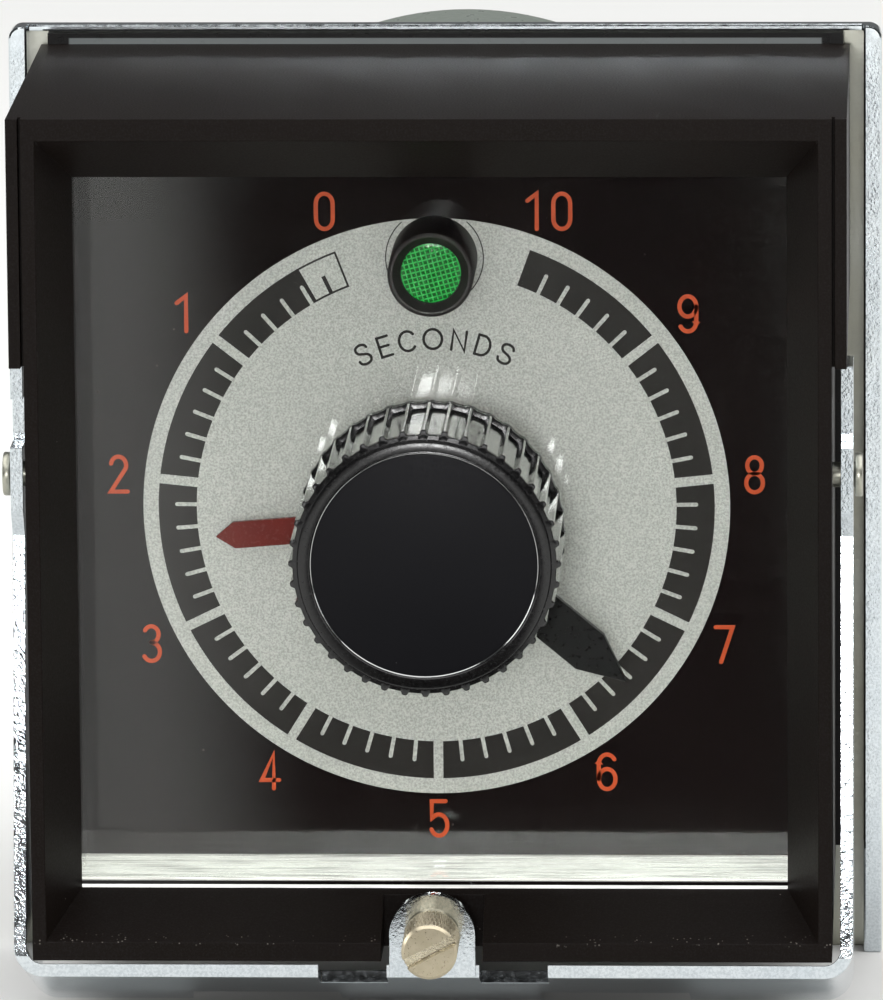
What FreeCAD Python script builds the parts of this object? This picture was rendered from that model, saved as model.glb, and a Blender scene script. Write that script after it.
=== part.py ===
import FreeCAD, Part
import Sketcher
import math
import os

# Panel-mounted reset timer, 0 to 10 seconds: a black moulded hood round a
# clear window, a printed dial with two hands and a pilot lamp, a ribbed knob
# in the middle, a chrome trim frame and a hinged chrome strap that one
# captive thumb screw holds shut. The clockwork stands between two plates in
# the hood, its motor in a round can behind the panel.
# Millimetres. +X is right, +Y goes back into the panel, +Z is up. The origin
# is on the spindle axis, in the plane where the timer seats on its panel.

Vector = FreeCAD.Vector
doc = FreeCAD.newDocument("ResetTimer")
sheet = doc.addObject("Spreadsheet::Sheet", "Sizes")


# ---------------------------------------------------------------- lengths

class Length:
    """A size that knows its number and its spreadsheet formula."""

    def __init__(self, text, value):
        self.text = text
        self.value = float(value)

    def __add__(self, other):
        other = length(other)
        return Length(f"({self.text} + {other.text})", self.value + other.value)

    def __radd__(self, other):
        return length(other) + self

    def __sub__(self, other):
        other = length(other)
        return Length(f"({self.text} - {other.text})", self.value - other.value)

    def __rsub__(self, other):
        return length(other) - self

    def __mul__(self, other):
        other = length(other)
        return Length(f"({self.text} * {other.text})", self.value * other.value)

    def __rmul__(self, other):
        return length(other) * self

    def __truediv__(self, other):
        other = length(other)
        return Length(f"({self.text} / {other.text})", self.value / other.value)

    def __neg__(self):
        return Length(f"(0 - {self.text})", -self.value)


def length(number):
    """A plain number as a Length."""
    return number if isinstance(number, Length) else Length(f"{float(number):.6f}", number)


def cell(alias, value, note):
    """One driving dimension: a plain number in the sheet, under its alias."""
    cell.row += 1
    sheet.set(f"A{cell.row}", note)
    sheet.set(f"B{cell.row}", str(value))
    sheet.setAlias(f"B{cell.row}", alias)
    return Length(f"Sizes.{alias}", value)


cell.row = 0


# ---------------------------------------------------------- driving sizes

# Front to back. Depths are measured back from the hood's front rim.
face_to_seat = cell("face_to_seat", 59.0, "front rim to the panel seat")
window_depth = cell("window_depth", 8.5, "rim to the front of the pane")
pane_thick = cell("pane_thick", 2.0, "window pane")
dial_depth = cell("dial_depth", 22.5, "rim to the face of the dial")
dial_thick = cell("dial_thick", 1.0, "dial plate")
front_plate_gap = cell("front_plate_gap", 4.5, "dial face to the front plate")
plate_thick = cell("plate_thick", 1.5, "front plate and bridge plate")
works_depth = cell("works_depth", 17.0, "front plate to bridge plate")
flange_thick = cell("flange_thick", 2.5, "chassis flange")
panel_thick = cell("panel_thick", 2.5, "panel plate")
trim_proud = cell("trim_proud", 1.0, "trim frame in front of the flange")
can_depth = cell("can_depth", 63.0, "panel seat to the back of the can")

# Hood.
rim_width = cell("rim_width", 94.5, "front rim, side to side")
ear_step = cell("ear_step", 1.75, "wide upper half beyond the rim, each side")
hood_top = cell("hood_top", 50.6, "spindle to the top of the hood")
hood_bottom = cell("hood_bottom", 50.3, "spindle to the bottom of the hood")
ear_bottom = cell("ear_bottom", 21.0, "spindle to the foot of the wide upper half")
hood_wall = cell("hood_wall", 2.35, "hood wall")
groove_width = cell("groove_width", 0.35, "groove between rim and ear")
groove_depth = cell("groove_depth", 1.5, "groove between rim and ear")
rim_side = cell("rim_side", 1.62, "flat rim at the sides")
rim_top = cell("rim_top", 2.6, "flat rim at the top")
rim_foot = cell("rim_foot", 2.25, "flat rim at the bottom")
reveal_side = cell("reveal_side", 5.35, "outside of the rim to the opening, at a side")
reveal_top = cell("reveal_top", 8.35, "top of the hood to the opening")
reveal_foot = cell("reveal_foot", 6.9, "bottom of the hood to the opening")
hood_boss = cell("hood_boss", 3.8, "radius of a corner boss in the hood")
hood_boss_length = cell("hood_boss_length", 24.0, "length of a corner boss")
hood_screw = cell("hood_screw", 1.25, "radius of a hood screw")
hood_screw_bite = cell("hood_screw_bite", 9.0, "hood screw in its boss")

# Window tray and dial.
tray_wall = cell("tray_wall", 1.4, "side walls of the window tray")
tray_lap = cell("tray_lap", 1.7, "window tray behind the edge of the opening")
tray_foot_lap = cell("tray_foot_lap", 0.5, "the same at the bottom")
window_hole = cell("window_hole", 4.4, "radius of the hole for the spindle")

# Trim, flange and panel plate.
trim_clear = cell("trim_clear", 1.0, "strap's arm to the trim frame, sideways")
trim_side = cell("trim_side", 2.2, "side bar of the trim frame")
trim_bar = cell("trim_bar", 0.8, "top bar of the trim frame")
trim_bar_setback = cell("trim_bar_setback", 1.5, "top bar behind the side bars' front")
foot_drop = cell("foot_drop", 12.0, "bottom of the hood down to what the timer stands on")
flange_lap = cell("flange_lap", 0.95, "flange beyond the hood's rim, each side")
flange_rise = cell("flange_rise", 1.3, "flange above the hood, and short of it below")
trim_gap = cell("trim_gap", 0.2, "flange to the trim frame's top bar")
panel_margin = cell("panel_margin", 0.4, "panel plate inside the trim frame's outline")
panel_lip = cell("panel_lip", 1.4, "panel plate inside the can")
stud_radius = cell("stud_radius", 2.0, "panel stud")
stud_length = cell("stud_length", 14.0, "panel stud behind the seat")
stud_margin = cell("stud_margin", 6.5, "panel stud to the side of the panel plate")
stud_span_z = cell("stud_span_z", 92.0, "panel studs, up and down")

# Can, terminal box and feet.
can_radius = cell("can_radius", 40.0, "round can")
can_wall = cell("can_wall", 1.2, "can wall")
can_rise = cell("can_rise", 4.8, "can and motor axis above the spindle")
box_width = cell("box_width", 72.0, "terminal box")
box_depth = cell("box_depth", 46.0, "terminal box behind the seat")
box_bottom = cell("box_bottom", 58.0, "spindle to the underside of the box")
box_top = cell("box_top", 28.0, "spindle to the upper edge of the box")
box_gap = cell("box_gap", 0.1, "terminal box to can")
terminal_pitch = cell("terminal_pitch", 8.6, "terminal to terminal")
terminal_count = 8
fin_thick = cell("fin_thick", 1.4, "fin between two terminals")
fin_depth = cell("fin_depth", 9.0, "fin behind the box")
fin_top = cell("fin_top", 40.0, "spindle to the top of the fins")
foot_radius = cell("foot_radius", 5.5, "rubber foot")
foot_span = cell("foot_span", 52.0, "rubber feet, apart")
foot_back = cell("foot_back", 37.0, "panel seat to a foot's middle")

# Movement plates and their spacers.
plate_clear = cell("plate_clear", 1.2, "plates' sides inside the corner bosses' axes")
plate_clear_top = cell("plate_clear_top", 4.55, "plates' top under the bosses' axes")
plate_clear_foot = cell("plate_clear_foot", 4.25, "plates' foot above the bosses' axes")
spacer_margin = cell("spacer_margin", 4.0, "spacer to the edges of its plate")
spacer_radius = cell("spacer_radius", 3.0, "spacer tube")
tie_radius = cell("tie_radius", 1.5, "tie screw")
tie_head = cell("tie_head", 2.8, "radius of a tie screw's head")
hole_gap = cell("hole_gap", 0.1, "round a screw in its hole")
running_gap = cell("running_gap", 0.05, "round a shaft in its bearing")

# Spindle.
shaft_radius = cell("shaft_radius", 3.0, "setting shaft")
sleeve_radius = cell("sleeve_radius", 4.2, "elapsed-time sleeve, outside")
bush_radius = cell("bush_radius", 6.5, "spindle bush, outside")
bush_proud = cell("bush_proud", 2.0, "bush in front of the dial")
bush_flange = cell("bush_flange", 8.5, "flange of the bush, radius")
bush_flange_thick = cell("bush_flange_thick", 1.5, "flange of the bush")
nut_radius = cell("nut_radius", 8.5, "nut across corners, half")
nut_thick = cell("nut_thick", 2.8, "bush nut")
sleeve_clear = cell("sleeve_clear", 0.5, "set hand to the front of the sleeve")
sleeve_end = cell("sleeve_end", 13.2, "front plate to the back of the sleeve")

# Hands. Angles go clockwise from the top of the dial.
set_angle = cell("set_angle", 129.8, "set hand at rest")
elapsed_angle = cell("elapsed_angle", -94.6, "elapsed hand at rest")
set_reach = cell("set_reach", 29.7, "set hand, spindle to tip")
set_blade = cell("set_blade", 5.3, "width of the set hand")
set_thick = cell("set_thick", 1.5, "set hand")
set_clear = cell("set_clear", 1.7, "pane to the set hand")
set_hub = cell("set_hub", 5.6, "hub of the set hand, radius")
set_taper = cell("set_taper", 5.6, "length of the set hand's point")
elapsed_reach = cell("elapsed_reach", 26.0, "elapsed hand, spindle to tip")
elapsed_blade = cell("elapsed_blade", 3.2, "width of the elapsed hand")
elapsed_thick = cell("elapsed_thick", 0.8, "elapsed hand")
hand_clear = cell("hand_clear", 1.3, "set hand to the elapsed hand")
elapsed_hub = cell("elapsed_hub", 6.4, "hub of the elapsed hand, radius")
elapsed_taper = cell("elapsed_taper", 2.2, "length of the elapsed hand's point")

# Knob.
knob_radius = cell("knob_radius", 15.875, "knob over its ribs")
rib_height = cell("rib_height", 0.6, "one rib")
rib_width = cell("rib_width", 0.7, "one rib")
rib_count = 40
knob_front = cell("knob_front", 11.6, "knob in front of the rim")
knob_clear = cell("knob_clear", 0.6, "knob to the pane")
knob_skirt = cell("knob_skirt", 1.4, "black skirt at the back of the knob")
knob_nose = cell("knob_nose", 1.0, "black ring at the front of the knob")
grip_wall = cell("grip_wall", 1.2, "metal grip under its ribs")
knob_rim = cell("knob_rim", 2.675, "knob over its ribs to its inlay, across the rim")
inlay_thick = cell("inlay_thick", 0.5, "inlay")
inlay_ring = cell("inlay_ring", 0.35, "bright ring round the inlay")
inlay_sink = cell("inlay_sink", 0.15, "inlay below the knob's front")
knob_bore_end = cell("knob_bore_end", 5.0, "end of the knob's bore in front of the rim")
setscrew_radius = cell("setscrew_radius", 1.6, "knob set screw")
setscrew_depth = cell("setscrew_depth", 3.6, "rim to the knob set screw")

# Pilot lamp.
lamp_rise = cell("lamp_rise", 30.2, "lamp above the spindle")
lamp_radius = cell("lamp_radius", 5.1, "lamp barrel")
lamp_clear = cell("lamp_clear", 0.9, "pane to the lamp barrel")
lens_radius = cell("lens_radius", 3.6, "bore for the lens")
lens_sink = cell("lens_sink", 0.9, "lens below the barrel's front")
lens_length = cell("lens_length", 2.7, "lens")
lamp_neck = cell("lamp_neck", 4.0, "barrel's neck through the dial")
bulb_radius = cell("bulb_radius", 2.7, "neon bulb")
bulb_length = cell("bulb_length", 16.0, "neon bulb")
holder_radius = cell("holder_radius", 4.5, "lamp holder")
holder_length = cell("holder_length", 15.0, "lamp holder")

# Gear train.
tooth_module = cell("tooth_module", 0.4, "pitch diameter over teeth")
wheel_teeth = 90
pinion_teeth = 12
wheel_thick = cell("wheel_thick", 2.0, "wheel")
pinion_thick = cell("pinion_thick", 3.0, "pinion")
elapsed_wheel_place = cell("elapsed_wheel_place", 4.0, "front plate to the elapsed wheel")
arbor_wheel_place = cell("arbor_wheel_place", 3.5, "bridge plate to the arbor wheel")
arbor_radius = cell("arbor_radius", 1.5, "arbor and motor shaft")
clutch_radius = cell("clutch_radius", 7.0, "clutch disc")
clutch_place = cell("clutch_place", 8.4, "front plate to the clutch disc")
clutch_thick = cell("clutch_thick", 1.6, "clutch disc")
finger_place = cell("finger_place", 11.4, "front plate to the trip finger")
finger_reach = cell("finger_reach", 15.0, "trip finger and setting arm")
finger_thick = cell("finger_thick", 1.5, "trip finger and setting arm")
arm_hub = cell("arm_hub", 6.2, "hub of finger and arm, radius")
arm_width = cell("arm_width", 3.0, "trip finger and setting arm")

# Return spring: a flat spiral of half-circle arcs.
spring_place = cell("spring_place", 8.2, "front plate to the return spring")
spring_width = cell("spring_width", 2.2, "spring strip")
spring_thick = cell("spring_thick", 0.3, "spring strip")
spring_start = cell("spring_start", 4.75, "first radius of the spiral")
spring_step = cell("spring_step", 0.6, "growth of each half turn")
spring_halves = 10
post_place = cell("post_place", 21.5, "spring post left of the spindle")

# Motor.
motor_clear = cell("motor_clear", 15.0, "can to the motor case, sideways")
motor_length = cell("motor_length", 22.0, "motor case")
motor_wall = cell("motor_wall", 1.0, "motor case")
coil_thick = cell("coil_thick", 7.0, "motor case to the coil's inside")
coil_length = cell("coil_length", 12.0, "field coil")
rotor_clear = cell("rotor_clear", 1.0, "round the rotor")
motor_ear_clear = cell("motor_ear_clear", 10.0, "can to a motor screw's axis, sideways")
motor_ear_radius = cell("motor_ear_radius", 4.0, "motor ear")
motor_ear_thick = cell("motor_ear_thick", 1.5, "motor ear")

# Clutch solenoid.
solenoid_x = cell("solenoid_x", 20.5, "solenoid right of the spindle")
solenoid_foot = cell("solenoid_foot", 16.2, "spindle to the pole face")
solenoid_radius = cell("solenoid_radius", 6.2, "solenoid coil")
solenoid_length = cell("solenoid_length", 13.0, "solenoid coil")
core_radius = cell("core_radius", 2.2, "solenoid core")
iron_thick = cell("iron_thick", 1.6, "solenoid frame and armature")
pole_gap = cell("pole_gap", 1.3, "open gap under the pole")
armature_gap = cell("armature_gap", 0.3, "armature to its hinge edge and to the clutch")
iron_width = cell("iron_width", 9.0, "solenoid frame and armature, front to back")
solenoid_place = cell("solenoid_place", 9.3, "front plate to the solenoid's axis")

# Trip switches.
switch_left = cell("switch_left", 28.0, "spindle to the left end of a switch")
switch_size = cell("switch_size", 20.0, "switch, long side")
switch_height = cell("switch_height", 10.0, "switch, up and down")
switch_thick = cell("switch_thick", 6.0, "switch, front to back")
switch_top = cell("switch_top", 26.5, "spindle down to the top of a switch")
switch_first = cell("switch_first", 2.3, "front plate to the first switch")
switch_gap = cell("switch_gap", 0.8, "between the two switches")
pin_radius = cell("pin_radius", 1.0, "pins between the plates")
plunger_radius = cell("plunger_radius", 1.2, "switch plunger")
plunger_proud = cell("plunger_proud", 1.6, "plunger above its switch")
plunger_place = cell("plunger_place", 20.0, "plunger left of the spindle")
lever_pivot_x = cell("lever_pivot_x", 3.0, "trip lever pivot left of the spindle")
lever_thick = cell("lever_thick", 1.2, "trip lever")
lever_gap = cell("lever_gap", 0.15, "trip lever over the plungers")

# Strap, its studs and its thumb screw.
strap_clear = cell("strap_clear", 0.95, "rim to the strap's arm, sideways")
strap_thick = cell("strap_thick", 1.5, "strap sheet")
strap_front = cell("strap_front", 2.5, "rim to the strap's front edge")
strap_under = cell("strap_under", 2.6, "hood down to the strap's front lower edge")
strap_slope = cell("strap_slope", 20.0, "strap's floor, degrees down to the back")
strap_back = cell("strap_back", 26.0, "rim to the strap's rear edge")
strap_bend = cell("strap_bend", 3.4, "outside bend of the strap")
pivot_place = cell("pivot_place", 3.7, "pane to the strap's pivot")
pivot_rise = cell("pivot_rise", 6.0, "strap's pivot above the spindle")
pivot_radius = cell("pivot_radius", 1.5, "pivot stud")
pivot_head = cell("pivot_head", 2.6, "head of a pivot stud")
pivot_head_thick = cell("pivot_head_thick", 0.9, "head of a pivot stud")
arm_top = cell("arm_top", 19.4, "spindle to the top of the strap's arms")
tab_radius = cell("tab_radius", 5.1, "rounded tab of the strap")
tab_depth = cell("tab_depth", 1.0, "rim to the tab's front")
tab_relief = cell("tab_relief", 8.5, "relief beside the tab, wide")
tab_relief_deep = cell("tab_relief_deep", 6.0, "relief beside the tab, deep")
notch_inner = cell("notch_inner", 12.0, "middle to the notch in the rear edge")
notch_outer = cell("notch_outer", 30.0, "middle to the notch's far end")
notch_deep = cell("notch_deep", 8.0, "notch in the strap's rear edge")
thumb_drop = cell("thumb_drop", 47.5, "spindle down to the thumb screw")
thumb_radius = cell("thumb_radius", 3.3, "thumb screw's head")
thumb_length = cell("thumb_length", 7.8, "thumb screw's head")
thumb_slot = cell("thumb_slot", 1.0, "slot in the thumb screw")
thumb_slot_angle = cell("thumb_slot_angle", -27.0, "slot, degrees clockwise from level")
thread_radius = cell("thread_radius", 1.5, "thumb screw's shank")
thread_end = cell("thread_end", 10.5, "rim to the tip of the shank")
recess_half = cell("recess_half", 6.0, "recess in the hood for the tab, half width")
recess_depth = cell("recess_depth", 7.5, "recess in the hood for the tab")
insert_radius = cell("insert_radius", 2.5, "threaded insert")
insert_gap = cell("insert_gap", 0.5, "round the shank in its insert, thread left off")
insert_length = cell("insert_length", 6.5, "threaded insert")
insert_boss = cell("insert_boss", 4.5, "hood round the insert, half width")
ring_radius = cell("ring_radius", 2.6, "captive ring")
ring_thick = cell("ring_thick", 0.7, "captive ring")


# ------------------------------------------------------- worked-out places

def back_from_rim(depth):
    """Row Y of a depth measured back from the hood's front rim."""
    return depth - face_to_seat


rim_y = back_from_rim(0)
hood_depth = face_to_seat - flange_thick - panel_thick
hood_back_y = back_from_rim(hood_depth)
window_y = back_from_rim(window_depth)
pane_back_y = window_y + pane_thick
dial_y = back_from_rim(dial_depth)
dial_back_y = dial_y + dial_thick
front_plate_y = dial_y + front_plate_gap
bridge_y = front_plate_y + works_depth
flange_y = hood_back_y
flange_back_y = flange_y + flange_thick
ear_width = rim_width + 2 * ear_step
window_half = rim_width / 2 - reveal_side
window_top = hood_top - reveal_top
window_bottom = hood_bottom - reveal_foot
tray_half = window_half + tray_lap
tray_top = window_top + tray_lap
tray_bottom = window_bottom + tray_foot_lap
cavity_half = rim_width / 2 - hood_wall
cavity_top = hood_top - hood_wall
cavity_bottom = hood_bottom - hood_wall
boss_x = cavity_half - hood_boss + 0.1
boss_top = cavity_top - hood_boss + 0.1
boss_bottom = -(cavity_bottom - hood_boss + 0.1)
bridge_back_y = bridge_y + plate_thick
plate_half = boss_x - plate_clear
plate_top = boss_top - plate_clear_top
plate_foot = boss_bottom + plate_clear_foot
flange_width = rim_width + 2 * flange_lap
flange_top = hood_top + flange_rise
flange_bottom = hood_bottom - flange_rise
strap_width = rim_width + 2 * (strap_clear + strap_thick)
strap_drop = hood_bottom + strap_under
trim_width = strap_width + 2 * (trim_clear + trim_side)
trim_top = flange_top + trim_gap + trim_bar
trim_y = flange_y - trim_proud
foot_level = hood_bottom + foot_drop
panel_plate_width = trim_width - 2 * panel_margin
panel_plate_hole = can_radius - panel_lip
stud_span_x = panel_plate_width - 2 * stud_margin
pivot_depth = window_depth + pivot_place
inlay_radius = knob_radius - knob_rim
motor_radius = can_radius - motor_clear
motor_ear = can_radius - motor_ear_clear
coil_inner = motor_radius - coil_thick
rotor_radius = coil_inner - rotor_clear
centre_distance = tooth_module * (wheel_teeth + pinion_teeth) / 2
arbor_z = can_rise / 2
arbor_x = Length(
    f"sqrt(({centre_distance.text})^2 - ({arbor_z.text})^2)",
    math.sqrt(centre_distance.value ** 2 - arbor_z.value ** 2),
)
corners = [(x, z) for x in (-1, 1) for z in (-1, 1)]
boss_centres = [(x * boss_x, boss_top if z > 0 else boss_bottom) for x, z in corners]
spacer_centres = [
    (x * (plate_half - spacer_margin), plate_top - spacer_margin if z > 0 else plate_foot + spacer_margin)
    for x, z in corners]
stud_centres = [(x * stud_span_x / 2, z * stud_span_z / 2) for x, z in corners]


# ------------------------------------------------------------ solid makers

AXIS_TURN = {
    "x": FreeCAD.Rotation(Vector(0, 1, 0), 90),
    "y": FreeCAD.Rotation(Vector(1, 0, 0), -90),
    "z": FreeCAD.Rotation(),
}
nodes = []


def bind(thing, prop, size):
    """Ties one property to its formula."""
    thing.setExpression(prop, length(size).text)


def place(thing, x, y, z, turn=None):
    """Ties a placement's base to formulas, with a fixed turn."""
    thing.Placement = FreeCAD.Placement(Vector(), turn or FreeCAD.Rotation())
    bind(thing, "Placement.Base.x", x)
    bind(thing, "Placement.Base.y", y)
    bind(thing, "Placement.Base.z", z)


def box(name, x, y, z):
    """A block between two corners, each side given as (low, high)."""
    block = doc.addObject("Part::Box", name)
    for prop, (low, high) in zip(("Length", "Width", "Height"), (x, y, z)):
        bind(block, prop, length(high) - low)
    place(block, x[0], y[0], z[0])
    return block


def rod(name, radius, start, end, at=(0, 0), axis="y"):
    """A round bar from start to end along an axis, at a place across it."""
    bar = doc.addObject("Part::Cylinder", name)
    bind(bar, "Radius", radius)
    bind(bar, "Height", length(end) - start)
    first, second = at
    spot = {"x": (start, first, second), "y": (first, start, second), "z": (first, second, start)}
    place(bar, *spot[axis], turn=AXIS_TURN[axis])
    return bar


def fuse(name, *shapes):
    joined = doc.addObject("Part::MultiFuse", name)
    joined.Shapes = list(shapes)
    joined.Refine = True
    return joined


def cut(name, base, *tools):
    whole = doc.addObject("Part::Cut", name)
    whole.Base = base
    whole.Tool = tools[0] if len(tools) == 1 else fuse(name + "_cutters", *tools)
    return whole


def group(name, shapes):
    """Like pieces that stay separate solids in one node."""
    bundle = doc.addObject("Part::Compound", name)
    bundle.Links = list(shapes)
    return bundle


def tube(name, outer, inner, start, end, at=(0, 0), axis="y"):
    hole = rod(name + "_bore", inner, length(start) - 1, length(end) + 1, at, axis)
    return cut(name, rod(name + "_bar", outer, start, end, at, axis), hole)


def node(label, thing):
    """Names a finished sub-part."""
    thing.Label = label
    nodes.append(thing)
    return thing


def plane(body, role):
    return next(f for f in body.Origin.OriginFeatures if f.Role == role)


def sketch_on(body, name, offset, role="XZ_Plane"):
    """A sketch square to the role's axis, at a distance along it."""
    sketch = body.newObject("Sketcher::SketchObject", name)
    sketch.AttachmentSupport = [(plane(body, role), "")]
    sketch.MapMode = "FlatFace"
    along = -length(offset) if role == "XZ_Plane" else length(offset)
    bind(sketch, "AttachmentOffset.Base.z", along)
    return sketch


def pin_point(sketch, shape, point, across, up):
    """Holds one point of a sketch at its two distances from the origin."""
    for kind, axis, size in (("DistanceX", -2, across), ("DistanceY", -1, up)):
        if not isinstance(size, Length) and size == 0:
            sketch.addConstraint(Sketcher.Constraint("PointOnObject", shape, point, axis))
        else:
            size = length(size)
            rule = Sketcher.Constraint(kind, -1, 1, shape, point, size.value)
            index = sketch.addConstraint(rule)
            sketch.setExpression(f"Constraints[{index}]", size.text)


def polygon(sketch, points):
    """A closed outline of straight sides."""
    spots = [Vector(length(a).value, length(b).value, 0) for a, b in points]
    first = sketch.GeometryCount
    for here, there in zip(spots, spots[1:] + spots[:1]):
        sketch.addGeometry(Part.LineSegment(here, there), False)
    count = len(spots)
    for i, (across, up) in enumerate(points):
        before = first + (i - 1) % count
        sketch.addConstraint(Sketcher.Constraint("Coincident", before, 2, first + i, 1))
        pin_point(sketch, first + i, 1, across, up)


def rectangle(sketch, across, up):
    polygon(sketch, [(across[0], up[0]), (across[1], up[0]), (across[1], up[1]), (across[0], up[1])])


def circle(sketch, radius, across=0, up=0):
    radius = length(radius)
    centre = Vector(length(across).value, length(up).value, 0)
    shape = sketch.addGeometry(Part.Circle(centre, Vector(0, 0, 1), radius.value), False)
    index = sketch.addConstraint(Sketcher.Constraint("Radius", shape, radius.value))
    sketch.setExpression(f"Constraints[{index}]", radius.text)
    pin_point(sketch, shape, 3, across, up)


def pad(body, name, sketch, size):
    """Grows the body from the sketch towards +Y, or +X and +Z on the other planes."""
    feature = body.newObject("PartDesign::Pad", name)
    feature.Profile = sketch
    feature.Reversed = sketch.AttachmentSupport[0][0].Role == "XZ_Plane"
    bind(feature, "Length", size)
    body.Tip = feature
    return feature


pockets = []


def pocket(body, name, sketch, size):
    """Cuts the body from the sketch towards +Y, or +X and +Z on the other planes."""
    feature = body.newObject("PartDesign::Pocket", name)
    feature.Profile = sketch
    feature.Reversed = sketch.AttachmentSupport[0][0].Role != "XZ_Plane"
    bind(feature, "Length", size)
    body.Tip = feature
    pockets.append(feature)
    return feature


def revolve(name, points, at=(0, 0)):
    """A turned piece about an axis along Y: outline of (radius, y) points."""
    body = doc.addObject("PartDesign::Body", name)
    sketch = sketch_on(body, name + "_profile", 0, "XY_Plane")
    polygon(sketch, points)
    turned = body.newObject("PartDesign::Revolution", name + "_turned")
    turned.Profile = sketch
    turned.ReferenceAxis = (sketch, ["V_Axis"])
    turned.Angle = 360
    body.Tip = turned
    place(body, at[0], 0, at[1])
    return body


def plate(name, outline, holes, start, thick):
    """A flat plate square to Y with round holes of (radius, x, z)."""
    body = doc.addObject("PartDesign::Body", name)
    sketch = sketch_on(body, name + "_outline", start)
    polygon(sketch, outline)
    for radius, x, z in holes:
        circle(sketch, radius, x, z)
    pad(body, name + "_sheet", sketch, thick)
    return body


def oblong(across, up):
    """The four corners of a rectangle."""
    return [(across[0], up[0]), (across[1], up[0]), (across[1], up[1]), (across[0], up[1])]


def rounded(name, thing, radius, wanted):
    """Rounds the edges whose middle the test accepts."""
    doc.recompute()
    soft = doc.addObject("Part::Fillet", name)
    soft.Base = thing
    value = length(radius).value
    soft.Edges = [
        (i + 1, value, value)
        for i, edge in enumerate(thing.Shape.Edges)
        if wanted(edge.CenterOfMass, edge)
    ]
    return soft


# -------------------------------------------------------------------- hood

def make_hood():
    """The black cover: rim, sloping reveal, cavity, bosses and recesses."""
    hood = doc.addObject("PartDesign::Body", "hood_body")
    outline = sketch_on(hood, "hood_outline", rim_y)
    rim, ear = rim_width / 2, ear_width / 2
    polygon(outline, [
        (-ear, ear_bottom), (-ear, hood_top), (ear, hood_top), (ear, ear_bottom),
        (rim, ear_bottom), (rim, -hood_bottom), (-rim, -hood_bottom), (-rim, ear_bottom),
    ])
    pad(hood, "hood_block", outline, hood_depth)

    cavity = sketch_on(hood, "hood_cavity_outline", window_y)
    rectangle(cavity, (-cavity_half, cavity_half), (-cavity_bottom, cavity_top))
    pocket(hood, "hood_cavity", cavity, hood_depth - window_depth)

    front = sketch_on(hood, "hood_reveal_front", rim_y)
    side = rim - rim_side
    rectangle(front, (-side, side), (-(hood_bottom - rim_foot), hood_top - rim_top))
    back = sketch_on(hood, "hood_reveal_back", window_y)
    rectangle(back, (-window_half, window_half), (-window_bottom, window_top))
    reveal = hood.newObject("PartDesign::SubtractiveLoft", "hood_reveal")
    reveal.Profile = front
    reveal.Sections = [back]
    reveal.Ruled = True
    hood.Tip = reveal

    for mark, sign in (("left", -1), ("right", 1)):
        groove = sketch_on(hood, f"hood_groove_{mark}_outline", rim_y)
        edges = sorted([sign * rim, sign * (rim + groove_width)], key=lambda e: e.value)
        rectangle(groove, edges, (ear_bottom, hood_top))
        pocket(hood, f"hood_groove_{mark}", groove, groove_depth)

    bosses = sketch_on(hood, "hood_boss_outline", hood_back_y - hood_boss_length)
    for x, z in boss_centres:
        circle(bosses, hood_boss, x, z)
    pad(hood, "hood_bosses", bosses, hood_boss_length)
    screw_holes = sketch_on(hood, "hood_screw_outline", hood_back_y - hood_screw_bite - 1)
    for x, z in boss_centres:
        circle(screw_holes, hood_screw + hole_gap, x, z)
    pocket(hood, "hood_screw_holes", screw_holes, hood_screw_bite + 1)

    lug = sketch_on(hood, "hood_lug_outline", window_y)
    rectangle(lug, (-insert_boss, insert_boss), (-hood_bottom, -(tray_bottom + 0.3)))
    pad(hood, "hood_lug", lug, recess_depth + insert_length + 1.5 - window_depth)
    recess = sketch_on(hood, "hood_recess_outline", rim_y)
    rectangle(recess, (-recess_half, recess_half), (-(hood_bottom + 1), -window_bottom))
    pocket(hood, "hood_recess", recess, recess_depth)
    seat = sketch_on(hood, "hood_insert_outline", back_from_rim(recess_depth))
    circle(seat, insert_radius, 0, -thumb_drop)
    pocket(hood, "hood_insert_hole", seat, insert_length)

    pivots = sketch_on(hood, "hood_pivot_outline", -(ear + 1), "YZ_Plane")
    circle(pivots, pivot_radius, back_from_rim(pivot_depth), pivot_rise)
    pocket(hood, "hood_pivot_holes", pivots, 2 * ear + 2)
    return node("hood", hood)


make_hood()


# ---------------------------------------------------------- window and dial

def make_window():
    """A clear tray: the pane, and walls that run back to the dial."""
    tray = doc.addObject("PartDesign::Body", "window_body")
    outline = sketch_on(tray, "window_outline", window_y)
    rectangle(outline, (-tray_half, tray_half), (-tray_bottom, tray_top))
    pad(tray, "window_block", outline, dial_y - window_y)
    inside = sketch_on(tray, "window_inside_outline", pane_back_y)
    inner = tray_half - tray_wall
    rectangle(inside, (-inner, inner), (-(tray_bottom - tray_wall), tray_top - tray_wall))
    pocket(tray, "window_inside", inside, dial_y - pane_back_y)
    hole = sketch_on(tray, "window_hole_outline", window_y)
    circle(hole, window_hole)
    pocket(tray, "window_spindle_hole", hole, pane_thick)
    return node("window", tray)


make_window()
node("dial_plate", plate(
    "dial_body", oblong((-tray_half, tray_half), (-tray_bottom, tray_top)),
    [(bush_radius + hole_gap, 0, 0), (lamp_neck + hole_gap, 0, lamp_rise)],
    dial_y, dial_thick))


# -------------------------------------------------------------- pilot lamp

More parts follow.
